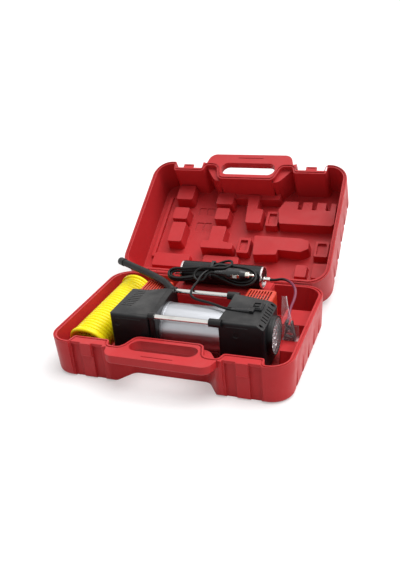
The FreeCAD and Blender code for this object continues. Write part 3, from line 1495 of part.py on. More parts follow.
outlet_points = [V(-41.3, 18.6, 102.0), V(-54.0, 30.0, 106.6), V(-75.0, 45.0, 107.4), V(-103.0, 62.0, 108.0),
                 V(-137.0, 80.0, 108.6), V(-174.0, 99.0, 109.5)]


outlet_inward = outlet_points[0] - outlet_points[1]
outlet_inward.normalize()
union_radius = outlet_diameter / 2 + 0.8
union_length = 4.0


def outlet_seat():
    # Blind bore in which the hose's union is seated.
    return Part.makeCylinder(union_radius + seat_gap, 14.0, outlet_points[0] - outlet_inward * 10.0, outlet_inward)


def outlet_union():
    return Part.makeCylinder(union_radius, union_length, outlet_points[0], outlet_inward)


def outlet_boot():
    tip, before = outlet_points[-1], outlet_points[-2]
    direction = tip - before
    direction.normalize()
    radius = outlet_diameter / 2 + 0.9
    sleeve = Part.makeCylinder(radius, 16.0, tip, direction)
    edges = [e for e in sleeve.Edges if (e.CenterOfMass - tip).dot(direction) > 15.0]
    return sleeve.makeFillet(5.0, edges)


cord_points = [V(92.0, -41.5, 107.0), V(85.0, -41.5, 107.0), V(75.0, -38.6, 107.2), V(58.0, -30.0, 107.0),
               V(38.0, -22.0, 106.4), V(20.0, -17.0, 106.0), V(6.0, -8.0, 107.0), V(2.0, 6.0, 110.4),
               V(1.0, 22.0, 111.2), V(1.0, 42.0, 110.4)]


def build_all():
    os.makedirs("parts", exist_ok=True)
    save("case_base", case_base())
    save("case_lid", case_lid())
    save("hinge_pins", hinge_pins())
    save("left_housing", left_housing())
    save("motor_flange", motor_flange())
    save("right_housing", right_housing())
    save("switch_frame", switch_frame())
    save("switch_rocker", switch_rocker())
    save("motor_barrel", motor_barrel())
    save("motor_end_bells", motor_end_bells())
    save("motor_bushes", motor_bushes())
    save("motor_magnets", motor_magnets())
    save("motor_brushes", motor_brushes())
    save("armature_shaft", armature_shaft())
    save("armature_core", armature_core())
    save("drive_pinions", drive_pinions())
    for side, root, way in (("left", left_root, -1), ("right", right_root, 1)):
        save(side + "_crank_gear", crank_gear(root, way))
        save(side + "_cylinder", cylinder_block(root, way))
        save(side + "_piston", piston(root, way))
        save(side + "_cylinder_guard", cylinder_guard(root, way))
    save("front_tie_rod", tie_rod(rod_front_y))
    save("rear_tie_rod", tie_rod(rod_rear_y))
    save("rod_sockets", rod_sockets())
    save("lamp_bezel", lamp_bezel())
    save("lamp_reflector", lamp_reflector())
    save("lamp_lens", lamp_lens())
    save("lamp_board", lamp_board())
    save("housing_screws", housing_screws())
    save("rubber_feet", rubber_feet())
    save("strain_relief", strain_relief())
    save("coil_hose", coil_hose())
    save("coil_front_fitting", coil_front_fitting())
    save("coil_rear_fitting", coil_rear_fitting())
    save("outlet_union", outlet_union())
    save("outlet_hose", cord_tube(outlet_points, outlet_diameter, "outlet_hose", 12))
    save("outlet_boot", outlet_boot())
    save("power_cord", power_cord())
    save("cord_hank", cord_hank())
    save("cord_tail", cord_tail())
    save("cord_tie", cord_tie())
    save("plug_body", plug_body())
    save("plug_contacts", plug_contacts())
    save("plug_ring", plug_ring())
    save("plug_tip", plug_tip())
    save("plug_spring", plug_spring())
    save("accessory_tube", accessory_tube())
    save("accessory_tube_rings", accessory_tube_rings())
    save("accessory_fitting", accessory_fitting())
    save("accessory_lead", cord_tube(lead_points, lead_diameter, "accessory_lead"))
    save("clamp_fixed_jaw", clamp_fixed_jaw())
    save("clamp_moving_jaw", clamp_moving_jaw())
    save("clamp_pin", clamp_pin())
    save("clamp_spring", clamp_spring())
    save("accessory_bag", accessory_bag())


build_all()
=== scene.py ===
"""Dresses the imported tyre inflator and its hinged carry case.

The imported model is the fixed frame. The cords and hoses, the lamp's bowl, the plug's spring and the
clear bag are made here, and every moulded or machined piece gets its finish. Lengths are in metres
in the model's frame, and in millimetres where a comment says so.
"""

import math

import bmesh
import bpy
from mathutils import Matrix, Vector, noise


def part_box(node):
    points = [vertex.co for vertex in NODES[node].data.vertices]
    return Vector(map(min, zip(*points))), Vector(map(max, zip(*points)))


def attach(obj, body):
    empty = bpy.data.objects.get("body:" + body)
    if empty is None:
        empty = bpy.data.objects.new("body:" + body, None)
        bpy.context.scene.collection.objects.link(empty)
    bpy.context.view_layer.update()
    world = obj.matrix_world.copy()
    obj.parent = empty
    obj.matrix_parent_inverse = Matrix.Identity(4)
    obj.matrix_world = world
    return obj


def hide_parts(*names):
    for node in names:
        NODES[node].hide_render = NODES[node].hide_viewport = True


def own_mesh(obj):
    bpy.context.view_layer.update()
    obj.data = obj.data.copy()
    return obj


bl_info = {
    "name": "Tyre inflator in its carry case",
    "version": (1, 0, 0),
    "blender": (4, 5, 0),
    "location": "3D View > Sidebar > Inflator",
    "description": "Finishes, cords and bag for the boxed tyre inflator",
    "category": "Object",
}

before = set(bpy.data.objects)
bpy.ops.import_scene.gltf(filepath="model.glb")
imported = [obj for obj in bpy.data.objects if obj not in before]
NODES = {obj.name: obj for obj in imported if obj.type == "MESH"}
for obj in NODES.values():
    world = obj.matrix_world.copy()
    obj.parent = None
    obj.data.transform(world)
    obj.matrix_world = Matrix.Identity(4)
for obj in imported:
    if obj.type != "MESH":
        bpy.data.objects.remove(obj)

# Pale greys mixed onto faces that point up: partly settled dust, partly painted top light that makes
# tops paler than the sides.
DUST_AND_TOP_LIGHT_ON_PLASTIC = (0.5, 0.48, 0.46, 1.0)
DUST_AND_TOP_LIGHT_ON_RUBBER = (0.4, 0.39, 0.38, 1.0)

# A Mix node's sockets for colours, which share their labels with those for other kinds.
MIX_AMOUNT, MIX_FIRST, MIX_SECOND, MIX_RESULT = 0, 6, 7, 2


def fill(tree, socket, value):
    """Gives a socket another node's output, or a plain number or colour."""
    if isinstance(value, bpy.types.NodeSocket):
        tree.links.new(value, socket)
    else:
        socket.default_value = value


def noise_node(tree, vector, scale, detail, roughness=0.5, distortion=0.0):
    """The value of a noise texture."""
    texture = tree.nodes.new("ShaderNodeTexNoise")
    for label, value in (("Vector", vector), ("Scale", scale), ("Detail", detail),
                         ("Roughness", roughness), ("Distortion", distortion)):
        fill(tree, texture.inputs[label], value)
    return texture.outputs["Fac"]


def math_node(tree, operation, first, second):
    """One sum of two sides, each a socket or a number."""
    node = tree.nodes.new("ShaderNodeMath")
    node.operation = operation
    fill(tree, node.inputs[0], first)
    fill(tree, node.inputs[1], second)
    return node.outputs[0]


def range_node(tree, value, low, high, to_low=0.0, to_high=1.0):
    """A smooth step that takes one range of values to another."""
    node = tree.nodes.new("ShaderNodeMapRange")
    node.interpolation_type = "SMOOTHSTEP"
    for label, number in (("Value", value), ("From Min", low), ("From Max", high),
                          ("To Min", to_low), ("To Max", to_high)):
        fill(tree, node.inputs[label], number)
    return node.outputs["Result"]


def blend_node(tree, amount, first, second):
    """Mixes two colours by an amount, each a socket or a plain value."""
    node = tree.nodes.new("ShaderNodeMix")
    node.data_type = "RGBA"
    for index, value in ((MIX_AMOUNT, amount), (MIX_FIRST, first), (MIX_SECOND, second)):
        fill(tree, node.inputs[index], value)
    return node.outputs[MIX_RESULT]


def axis_node(tree, vector, axis):
    """One axis of a vector."""
    split = tree.nodes.new("ShaderNodeSeparateXYZ")
    tree.links.new(vector, split.inputs[0])
    return split.outputs[axis]


def object_place(tree):
    """Coordinates that stay with the piece."""
    return tree.nodes.new("ShaderNodeTexCoord").outputs["Object"]


def surface_normal(tree):
    """The normal of the surface as it was made."""
    return tree.nodes.new("ShaderNodeNewGeometry").outputs["Normal"]


# Shader groups that several finishes share.


def new_group(name, inputs, outputs):
    """An empty shader group, with the sockets it is given and those it puts out."""
    group = bpy.data.node_groups.new(name, "ShaderNodeTree")
    for label, value in inputs.items():
        socket = group.interface.new_socket(label, in_out="INPUT", socket_type="NodeSocketFloat")
        socket.default_value = value
    for label, kind in outputs.items():
        group.interface.new_socket(label, in_out="OUTPUT", socket_type=kind)
    entry = group.nodes.new("NodeGroupInput")
    leave = group.nodes.new("NodeGroupOutput")
    return group, entry.outputs, leave.inputs


def make_grain_group():
    """Sand grain of a mould, with slow flow marks and a faint mottle."""
    group, given, result = new_group(
        "Mould grain",
        {"Grain Scale": 1400.0, "Grain Share": 0.6, "Flow Share": 0.4},
        {"Height": "NodeSocketFloat", "Gloss Change": "NodeSocketFloat",
         "Mottle": "NodeSocketFloat"},
    )
    place = object_place(group)
    fine = noise_node(group, place, given["Grain Scale"], detail=2.0)
    flow = noise_node(group, place, 28.0, detail=3.0, roughness=0.55, distortion=0.6)
    broad = noise_node(group, place, 9.0, detail=4.0, roughness=0.6, distortion=0.3)
    fine_part = math_node(group, "MULTIPLY", fine, given["Grain Share"])
    flow_part = math_node(group, "MULTIPLY", flow, given["Flow Share"])
    group.links.new(math_node(group, "ADD", fine_part, flow_part), result["Height"])
    group.links.new(range_node(group, flow, 0.32, 0.68), result["Gloss Change"])
    group.links.new(range_node(group, broad, 0.35, 0.7), result["Mottle"])
    return group


def make_edge_rub_and_highlight_group():
    """Where an edge is paled, partly as rubbed wear and partly as a painted highlight, and the normal
    of the same edge slightly rounded.
    """
    group, given, result = new_group(
        "Edge rub and highlight",
        {"Radius": 0.0012, "Amount": 0.5},
        {"Rubbed and highlit": "NodeSocketFloat", "Rounded": "NodeSocketVector"},
    )
    bevel = group.nodes.new("ShaderNodeBevel")
    bevel.samples = 4
    group.links.new(given["Radius"], bevel.inputs["Radius"])
    compare = group.nodes.new("ShaderNodeVectorMath")
    compare.operation = "DOT_PRODUCT"
    group.links.new(bevel.outputs["Normal"], compare.inputs[0])
    group.links.new(surface_normal(group), compare.inputs[1])
    bent = range_node(group, compare.outputs["Value"], 0.7, 0.995, 1.0, 0.0)
    uneven = noise_node(group, object_place(group), 140.0, detail=4.0, roughness=0.65)
    patches = range_node(group, uneven, 0.38, 0.62, 0.35, 1.0)
    rubbed_and_highlit = math_node(group, "MULTIPLY", bent, patches)
    group.links.new(math_node(group, "MULTIPLY", rubbed_and_highlit, given["Amount"]), result["Rubbed and highlit"])
    group.links.new(bevel.outputs["Normal"], result["Rounded"])
    return group


def make_dust_and_top_light_group():
    """Thin dust on what faces up, in uneven patches. It is also painted top light: up-facing faces
    come out paler than the sides.
    """
    group, given, result = new_group("Settled dust and painted top light", {"Amount": 0.1}, {"Dust and top light": "NodeSocketFloat"})
    upward = range_node(group, axis_node(group, surface_normal(group), "Z"), 0.35, 1.0)
    uneven = noise_node(group, object_place(group), 24.0, detail=5.0, roughness=0.6)
    patches = range_node(group, uneven, 0.35, 0.75, 0.25, 1.0)
    dust_and_top_light = math_node(group, "MULTIPLY", upward, patches)
    group.links.new(math_node(group, "MULTIPLY", dust_and_top_light, given["Amount"]), result["Dust and top light"])
    return group


def make_drawn_group():
    """Fine lines along X, as drawn or ground metal has them."""
    group, given, result = new_group(
        "Drawn lines",
        {"Line Scale": 1500.0},
        {"Height": "NodeSocketFloat", "Gloss Change": "NodeSocketFloat",
         "Tarnish": "NodeSocketFloat"},
    )
    place = object_place(group)
    stretch = group.nodes.new("ShaderNodeMapping")
    stretch.inputs["Scale"].default_value = (0.02, 1.0, 1.0)
    group.links.new(place, stretch.inputs["Vector"])
    lines = noise_node(group, stretch.outputs["Vector"], given["Line Scale"], detail=3.0,
                       roughness=0.6)
    smears = noise_node(group, place, 40.0, detail=4.0, roughness=0.6, distortion=0.8)
    group.links.new(lines, result["Height"])
    group.links.new(range_node(group, lines, 0.3, 0.7), result["Gloss Change"])
    group.links.new(range_node(group, smears, 0.45, 0.75), result["Tarnish"])
    return group


GROUP_MAKERS = {
    "Mould grain": make_grain_group,
    "Edge rub and highlight": make_edge_rub_and_highlight_group,
    "Settled dust and painted top light": make_dust_and_top_light_group,
    "Drawn lines": make_drawn_group,
}


def placed(tree, name, **values):
    """One of the shared groups in a material, with its own values."""
    node = tree.nodes.new("ShaderNodeGroup")
    node.node_tree = bpy.data.node_groups.get(name) or GROUP_MAKERS[name]()
    for label, value in values.items():
        node.inputs[label.replace("_", " ")].default_value = value
    return node.outputs


# Finishes. Each shader stays in its own material.


def start_finish(name, **sockets):
    """A new material whose shader has these plain values."""
    material = bpy.data.materials.new(name)
    material.use_nodes = True
    tree = material.node_tree
    shader = tree.nodes["Principled BSDF"]
    for label, value in sockets.items():
        shader.inputs[label.replace("_", " ")].default_value = value
    return material, tree, shader


def coloured(tree, shader, amount, first, second):
    """Mixes two colours into the shader's own."""
    tree.links.new(blend_node(tree, amount, first, second), shader.inputs["Base Color"])


def glossed(tree, shader, change, low, high):
    """Lets the roughness wander from low to high, as a change wanders from 0 to 1."""
    tree.links.new(range_node(tree, change, 0.0, 1.0, low, high), shader.inputs["Roughness"])


def raised(tree, shader, height, distance, strength=1.0, rounded=None):
    """Feeds a height to the shader's normal, over a rounded normal where there is one."""
    bump = tree.nodes.new("ShaderNodeBump")
    bump.inputs["Strength"].default_value = strength
    bump.inputs["Distance"].default_value = distance
    tree.links.new(height, bump.inputs["Height"])
    if rounded is not None:
        tree.links.new(rounded, bump.inputs["Normal"])
    tree.links.new(bump.outputs["Normal"], shader.inputs["Normal"])


def shade_of(colour, factor):
    """A darker or lighter shade of a colour."""
    return (colour[0] * factor, colour[1] * factor, colour[2] * factor, 1.0)


def moulded_plastic(name, colour, gloss, grain_height, rub_and_highlight=0.4, dust_and_top_light_amount=0.03, grain_scale=1400.0,
                    radius=0.0012, lighter=(0.5, 0.5, 0.5, 1.0), **sockets):
    """Moulded plastic: grain, flow marks, paler edges that are partly rubbed wear and partly a
    painted highlight, and a little dust that also paints top light on up-facing faces.
    """
    material, tree, shader = start_finish(name, **sockets)
    grain = placed(tree, "Mould grain", Grain_Scale=grain_scale)
    edge = placed(tree, "Edge rub and highlight", Radius=radius, Amount=rub_and_highlight)
    dust_and_top_light = placed(tree, "Settled dust and painted top light", Amount=dust_and_top_light_amount)
    body = blend_node(tree, grain["Mottle"], shade_of(colour, 0.95), shade_of(colour, 1.04))
    # Edges turn paler: rubbed wear and a painted highlight.
    toned = blend_node(tree, edge["Rubbed and highlit"], body, lighter)
    # Up-facing faces turn pale grey: settled dust and painted top light.
    coloured(tree, shader, dust_and_top_light["Dust and top light"], toned, DUST_AND_TOP_LIGHT_ON_PLASTIC)
    glossed(tree, shader, grain["Gloss Change"], gloss - 0.05, gloss + 0.07)
    raised(tree, shader, grain["Height"], grain_height, rounded=edge["Rounded"])
    return material


def bright_metal(name, colour, gloss, line_height=0.00001, line_scale=1500.0, tarnish=0.85):
    """Drawn, ground or plated metal with fine lines and handling smears."""
    material, tree, shader = start_finish(name, Metallic=1.0)
    drawn = placed(tree, "Drawn lines", Line_Scale=line_scale)
    edge = placed(tree, "Edge rub and highlight", Radius=0.0005, Amount=0.3)
    coloured(tree, shader, drawn["Tarnish"], colour, shade_of(colour, tarnish))
    glossed(tree, shader, drawn["Gloss Change"], max(0.02, gloss - 0.04), gloss + 0.06)
    raised(tree, shader, drawn["Height"], line_height, rounded=edge["Rounded"])
    return material


def rubber_grain(tree):
    """The soft grain of rubber and of a cord's jacket."""
    return placed(tree, "Mould grain", Grain_Scale=900.0, Grain_Share=0.4, Flow_Share=0.6)


def soft_rubber(name, colour, gloss, grain_height=0.00006, dust_and_top_light_amount=0.02, **sockets):
    """Cord jacket, hose or foot: fine grain and a faint bloom of dust that also paints top light on
    up-facing faces, with no rubbed edges.
    """
    material, tree, shader = start_finish(name, **sockets)
    grain = rubber_grain(tree)
    dust_and_top_light = placed(tree, "Settled dust and painted top light", Amount=dust_and_top_light_amount)
    body = blend_node(tree, grain["Mottle"], shade_of(colour, 0.94), shade_of(colour, 1.05))
    # Up-facing faces turn pale grey: dust and painted top light.
    coloured(tree, shader, dust_and_top_light["Dust and top light"], body, DUST_AND_TOP_LIGHT_ON_RUBBER)
    glossed(tree, shader, grain["Gloss Change"], gloss - 0.06, gloss + 0.08)
    raised(tree, shader, grain["Height"], grain_height)
    return material


def lead_jacket(name, black, plum):
    """The lead's glossy jacket: black beside its fitting at the left, and plum beyond it."""
    material, tree, shader = start_finish(name, Specular_IOR_Level=0.3)
    grain = rubber_grain(tree)
    beyond = range_node(tree, axis_node(tree, object_place(tree), "X"), 0.146, 0.166)
    toned = blend_node(tree, grain["Mottle"], plum, shade_of(plum, 1.2))
    coloured(tree, shader, beyond, black, toned)
    glossed(tree, shader, grain["Gloss Change"], 0.3, 0.42)
    raised(tree, shader, grain["Height"], 0.00002)
    return material


def pressed_cells(tree, scale):
    """A pressed pattern of small cells: the distance from each middle, and a colour of its own."""
    cells = tree.nodes.new("ShaderNodeTexVoronoi")
    cells.inputs["Scale"].default_value = scale
    tree.links.new(object_place(tree), cells.inputs["Vector"])
    return cells.outputs


def thinned(tree, shader, blend, high, clearest, densest):
    """Clear plastic is clearest face on, and denser where it turns away, so that its pale colour
    paints a sheen along the turned edges.
    """
    facing = tree.nodes.new("ShaderNodeLayerWeight")
    facing.inputs["Blend"].default_value = blend
    density = range_node(tree, facing.outputs["Facing"], 0.2, high, clearest, densest)
    tree.links.new(density, shader.inputs["Alpha"])


def reflector_finish(name, colour):
    """Plated reflector with small flat facets, each painted paler or darker as a painted reflection
    of a different part of the surroundings.
    """
    material, tree, shader = start_finish(name, Metallic=0.65)
    facets = pressed_cells(tree, 190.0)
    spread = range_node(tree, facets["Distance"], 0.0, 0.7, 0.04, 0.14)
    tree.links.new(spread, shader.inputs["Roughness"])
    # Painted reflection: random facets darkened to less than half.
    coloured(tree, shader, axis_node(tree, facets["Color"], "X"), colour, shade_of(colour, 0.45))
    raised(tree, shader, facets["Distance"], 0.0025)
    return material


def clear_lens(name, colour):
    """Clear moulded lens with a pressed pattern of small pillows."""
    material, tree, shader = start_finish(name, IOR=1.49)
    grain = placed(tree, "Mould grain", Grain_Scale=420.0, Grain_Share=0.5, Flow_Share=0.5)
    coloured(tree, shader, grain["Mottle"], colour, shade_of(colour, 0.96))
    glossed(tree, shader, grain["Gloss Change"], 0.03, 0.08)
    thinned(tree, shader, 0.3, 1.0, 0.06, 0.35)
    raised(tree, shader, pressed_cells(tree, 260.0)["Distance"], 0.0016)
    return material


def clear_film(name, colour):
    """Thin clear bag film: nearly see-through face on, and denser where it turns away, where its
    pinkish pale colour is a painted sheen.
    """
    material, tree, shader = start_finish(name, IOR=1.5)
    grain = placed(tree, "Mould grain", Grain_Scale=120.0, Grain_Share=0.5, Flow_Share=0.5)
    coloured(tree, shader, grain["Mottle"], colour, shade_of(colour, 0.9))
    glossed(tree, shader, grain["Gloss Change"], 0.1, 0.25)
    thinned(tree, shader, 0.35, 0.9, 0.1, 0.85)
    raised(tree, shader, grain["Height"], 0.0016, strength=0.9)
    return material


def put_on(material, *names):
    """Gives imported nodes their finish."""
    for name in names:
        mesh = NODES[name].data
        if not mesh.materials:
            mesh.materials.append(material)
        for index in range(len(mesh.materials)):
            mesh.materials[index] = material


# Routes of the cords and hoses, in millimetres. The hank leans on the accessory tube: u runs along
# the tube from its middle, v up the slope and n away from the hank's lower layer.

TUBE_MIDDLE = (12.0, 112.0, 95.3)
LEAN = math.radians(55)
HANK_AWAY = 25.0
RELIEF_TO_HANK = [
    (92.0, -41.5, 107.0), (85.0, -41.5, 107.0), (75.0, -38.6, 107.2), (58.0, -30.0, 107.0),
    (38.0, -22.0, 106.4), (20.0, -17.0, 106.0), (6.0, -8.0, 107.0), (2.0, 6.0, 110.4),
    (1.0, 22.0, 111.2), (1.0, 42.0, 110.4),
]
OVER_THE_TIE = [
    (-12.5, -36.0, 20.5), (-10.0, -24.0, 15.6), (-1.0, -13.0, 12.3), (9.0, -2.5, 12.6),
    (18.0, 1.0, 9.6),
]
INTO_THE_HANK = (38.5, 95.7, 121.2)
INNER_LOOP = [
    (54.0, 10.8), (70.0, 9.6), (78.0, 5.6), (80.5, 0.0), (78.0, -5.6), (70.0, -9.6),
    (54.0, -10.8), (28.0, -6.8), (0.0, -2.8), (-28.0, -4.6), (-56.0, -6.0), (-74.0, -5.8),
    (-80.0, 0.0), (-74.0, 5.8), (-56.0, 6.0), (-28.0, 4.6), (0.0, 2.8), (28.0, 6.8),
]
HANK_STEP = 6.0
LAYER_STEP = 5.5
TURNS_PER_LAYER = 1.5
MIDDLE_SAG, LEFT_SAG, RIGHT_SAG = 9.0, 13.0, 11.0
HANK_HALF = 56.0
TAIL = [
    (22.0, 12.0, 4.0), (36.0, 11.0, 8.5), (40.0, 0.0, 13.5), (30.0, -10.0, 15.5),
    (14.0, -12.0, 17.0), (0.0, -12.5, 17.8), (-13.0, -13.0, 17.8), (-25.0, -19.0, 15.8),
    (-28.0, -31.5, 13.4), (-17.0, -39.5, 12.8), (-6.0, -36.0, 13.6), (-2.5, -26.5, 16.0),
    (5.0, -21.0, 17.1), (12.0, -21.0, 17.1),
]
OUTLET_ROUTE = [
    (-41.3, 18.6, 102.0), (-54.0, 30.0, 106.6), (-75.0, 45.0, 107.4), (-103.0, 62.0, 108.0),
    (-137.0, 80.0, 108.6), (-174.0, 99.0, 109.5),
]
LEAD_ROUTE = [
    (119.0, 104.0, 95.5), (129.0, 104.0, 95.5), (141.0, 100.0, 101.0), (154.0, 91.0, 104.0),
    (166.0, 80.0, 103.5), (174.0, 68.0, 100.0), (177.0, 56.0, 94.5), (176.5, 44.0, 88.0),
    (173.8, 33.0, 81.0), (173.6, 22.0, 75.0), (175.6, 12.0, 71.5), (175.6, 1.0, 71.5),
]


def metres(points):
    """Points written in millimetres, as in the part's source, as vectors in metres."""
    return [Vector(point) / 1000 for point in points]


def hank_spot(u, v, n):
    """A spot of the hank in the model's frame, in millimetres."""
    x, y, z = TUBE_MIDDLE
    away = HANK_AWAY + n
    return (x + u, y - math.cos(LEAN) * away + math.sin(LEAN) * v,
            z + math.sin(LEAN) * away + math.cos(LEAN) * v)


def strand_spot(position, step, layer):
    """A corner of the strand that lies so many steps outside the hank's innermost loop."""
    count = len(INNER_LOOP)
    index = int(position) % count
    part = position - int(position)
    (u, v), (next_u, next_v) = INNER_LOOP[index], INNER_LOOP[(index + 1) % count]
    (back_u, back_v), (far_u, far_v) = INNER_LOOP[index - 1], INNER_LOOP[(index + 2) % count]
    along_u = (next_u - back_u) * (1 - part) + (far_u - u) * part
    along_v = (next_v - back_v) * (1 - part) + (far_v - v) * part
    length = math.hypot(along_u, along_v)
    u, v = (u + (next_u - u) * part - along_v / length * HANK_STEP * step,
            v + (next_v - v) * part + along_u / length * HANK_STEP * step)
    end_sag = RIGHT_SAG if u > 0 else LEFT_SAG
    return hank_spot(u, v - (MIDDLE_SAG + end_sag * min(1.0, abs(u) / HANK_HALF)), layer)


def hank_route():
    """The hank's corners: the upper layer winds in, then the lower one winds out."""
    count = len(INNER_LOOP)
    half = int(TURNS_PER_LAYER * count)
    corners = [strand_spot(count - 0.6, TURNS_PER_LAYER, LAYER_STEP)]
    for index in range(2 * half - 1):
        if index < half:
            corners.append(strand_spot(index, TURNS_PER_LAYER - index / count, LAYER_STEP))
        else:
            corners.append(strand_spot(index, (index - half + 1) / count, 0.0))
    return corners


def coil_route(turns, per_turn, lean):
    """The recoil hose: turns that lean to the front, and a straight end at each fitting."""
    left, front, run, straight = -161.0, -97.0, 213.85, 8.0
    fitting_reach, turn_reach, fitting_middle, turn_middle = 33.5, 30.3, 44.8, 41.8
    # The curve cuts the corners of its route, which therefore lie further out.
    outward = 1.0 / (0.75 + 0.25 * math.cos(2 * math.pi / per_turn))
    corners = int(turns * per_turn)
    route = [(left + fitting_reach, front, fitting_middle - straight)]
    for index in range(corners + 1):
        angle = 2 * math.pi * index / per_turn
        ease = min(1.0, 2 * min(index, corners - index) / per_turn)
        reach = fitting_reach + (turn_reach * outward - fitting_reach) * ease
        middle = fitting_middle + (turn_middle - fitting_middle) * ease
        forward = lean * (1.0 - 0.5 * index / corners) * math.sin(angle)
        route.append((left + reach * math.cos(angle), front + run * index / corners - forward,
                      middle + reach * math.sin(angle)))
    route.append((left - fitting_reach, front + run, fitting_middle - straight))
    return route


def laid_cord(name, route, diameter, finish, body="case", sides=3, steps=6):
    """A round cord or hose on one smooth curve through the route's corners."""
    curve = bpy.data.curves.new(name, "CURVE")
    curve.dimensions = "3D"
    curve.bevel_depth = diameter / 2
    curve.bevel_resolution = sides
    curve.resolution_u = steps
    curve.use_fill_caps = True
    spline = curve.splines.new("NURBS")
    spline.points.add(len(route) - 1)
    for point, place in zip(spline.points, metres(route)):
        point.co = (*place, 1.0)
    spline.order_u = 3
    spline.use_endpoint_u = True
    curve.materials.append(finish)
    cord = bpy.data.objects.new(name, curve)
    bpy.context.scene.collection.objects.link(cord)
    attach(cord, body)
    return cord


def mesh_piece(name, shape, finish, body="case", smooth=True):
    """Turns a bmesh into a piece that rides on a body."""
    mesh = bpy.data.meshes.new(name)
    shape.to_mesh(mesh)
    shape.free()
    mesh.materials.append(finish)
    for polygon in mesh.polygons:
        polygon.use_smooth = smooth
    piece = bpy.data.objects.new(name, mesh)
    bpy.context.scene.collection.objects.link(piece)
    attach(piece, body)
    return piece


class CaseSettings(bpy.types.PropertyGroup):
    """The case's colours and grain."""

    case_red: bpy.props.FloatVectorProperty(
        name="Moulding red", description="Colour of the blow-moulded case",
        subtype="COLOR", size=4, min=0, max=1, default=(0.52, 0.026, 0.03, 1.0))
    # Paler red along the case's edges: partly rubbed wear, partly a painted highlight on the rims.
    rubbed_and_highlit_red: bpy.props.FloatVectorProperty(
        name="Rubbed and highlit red", description="Paler red of edges, rubbed and with a painted highlight",
        subtype="COLOR", size=4, min=0, max=1, default=(0.72, 0.12, 0.12, 1.0))
    case_gloss: bpy.props.FloatProperty(
        name="Moulding roughness", description="Roughness of the case's skin",
        subtype="FACTOR", min=0, max=1, default=0.42)
    grain_height: bpy.props.FloatProperty(
        name="Grain height", description="Height of the mould's grain",
        subtype="DISTANCE", min=0, max=0.001, default=0.00012)


class CompressorSettings(bpy.types.PropertyGroup):
    """The compressor's colours."""

    housing_grey: bpy.props.FloatVectorProperty(
        name="Housing grey", description="Colour of both end housings",
        subtype="COLOR", size=4, min=0, max=1, default=(0.0055, 0.006, 0.007, 1.0))
    part_black: bpy.props.FloatVectorProperty(
        name="Part black", description="Black of flange, switch and bezel",
        subtype="COLOR", size=4, min=0, max=1, default=(0.004, 0.004, 0.0045, 1.0))
    guard_red: bpy.props.FloatVectorProperty(
        name="Guard red", description="Colour of the cylinder guards",
        subtype="COLOR", size=4, min=0, max=1, default=(0.66, 0.05, 0.02, 1.0))
    barrel_silver: bpy.props.FloatVectorProperty(
        name="Barrel silver", description="Metal of the motor barrel",
        subtype="COLOR", size=4, min=0, max=1, default=(0.44, 0.45, 0.475, 1.0))
    chrome: bpy.props.FloatVectorProperty(
        name="Chrome", description="Plated rods and fittings",
        subtype="COLOR", size=4, min=0, max=1, default=(0.72, 0.71, 0.68, 1.0))


class CordSettings(bpy.types.PropertyGroup):
    """Diameters and colours of the cords and hoses."""

    cord_diameter: bpy.props.FloatProperty(
        name="Power cord", description="Diameter of the power cord",
        subtype="DISTANCE", min=0.002, max=0.01, default=0.0048)
    outlet_diameter: bpy.props.FloatProperty(
        name="Outlet hose", description="Diameter of the outlet hose",
        subtype="DISTANCE", min=0.005, max=0.02, default=0.0135)
    coil_tube: bpy.props.FloatProperty(
        name="Recoil tube", description="Diameter of the recoil hose's tube",
        subtype="DISTANCE", min=0.004, max=0.012, default=0.008)
    lead_diameter: bpy.props.FloatProperty(
        name="Clamp lead", description="Diameter of the clamp's lead",
        subtype="DISTANCE", min=0.002, max=0.01, default=0.005)
    coil_yellow: bpy.props.FloatVectorProperty(
        name="Recoil yellow", description="Colour of the recoil hose",
        subtype="COLOR", size=4, min=0, max=1, default=(1.0, 0.83, 0.008, 1.0))
    cord_black: bpy.props.FloatVectorProperty(
        name="Cord black", description="Colour of the cord and outlet hose",
        subtype="COLOR", size=4, min=0, max=1, default=(0.005, 0.0048, 0.0046, 1.0))
    lead_plum: bpy.props.FloatVectorProperty(
        name="Lead plum", description="Colour of the clamp's lead",
        subtype="COLOR", size=4, min=0, max=1, default=(0.2, 0.028, 0.065, 1.0))


class StageSettings(bpy.types.PropertyGroup):
    """The camera's place and the level of the light."""

    azimuth: bpy.props.FloatProperty(
        name="Azimuth", description="Camera's bearing from the front, to the right",
        subtype="ANGLE", default=math.radians(22.44))
    elevation: bpy.props.FloatProperty(
        name="Elevation", description="Camera's height angle",
        subtype="ANGLE", default=math.radians(25.598))
    roll: bpy.props.FloatProperty(
        name="Roll", description="Camera's tilt about its own line",
        subtype="ANGLE", default=math.radians(-5.09))
    distance: bpy.props.FloatProperty(
        name="Distance", description="From the camera to its target",
        subtype="DISTANCE", min=0.2, max=5, default=1.32704)
    target: bpy.props.FloatVectorProperty(
        name="Target", description="Where the camera looks",
        subtype="XYZ", size=3, default=(-0.02632, 0.11726, 0.06509))
    sky_level: bpy.props.FloatProperty(
        name="Sky level", description="Even light from all round", min=0, max=2, default=0.27)
    key_level: bpy.props.FloatProperty(
        name="Key level", description="Strength of the large overhead light",
        min=0, max=10, default=3.4)


FLOOR_SIZE = 30.0
FLOOR_GLOW = 0.38
# The lights' names, directions and shares of the key level.
LIGHTS = (("key_light", (0.3, 0.12, 1.0), 1.0), ("side_light", (1.0, 0.3, 0.45), 0.16))
LIGHT_SPREAD = math.radians(60)
# The camera that was fitted to the photograph, which is FRAME_PIXELS wide.
FRAME_PIXELS = 400.0
FOCAL_PIXELS = 683.096
SENSOR_WIDTH = 36.0


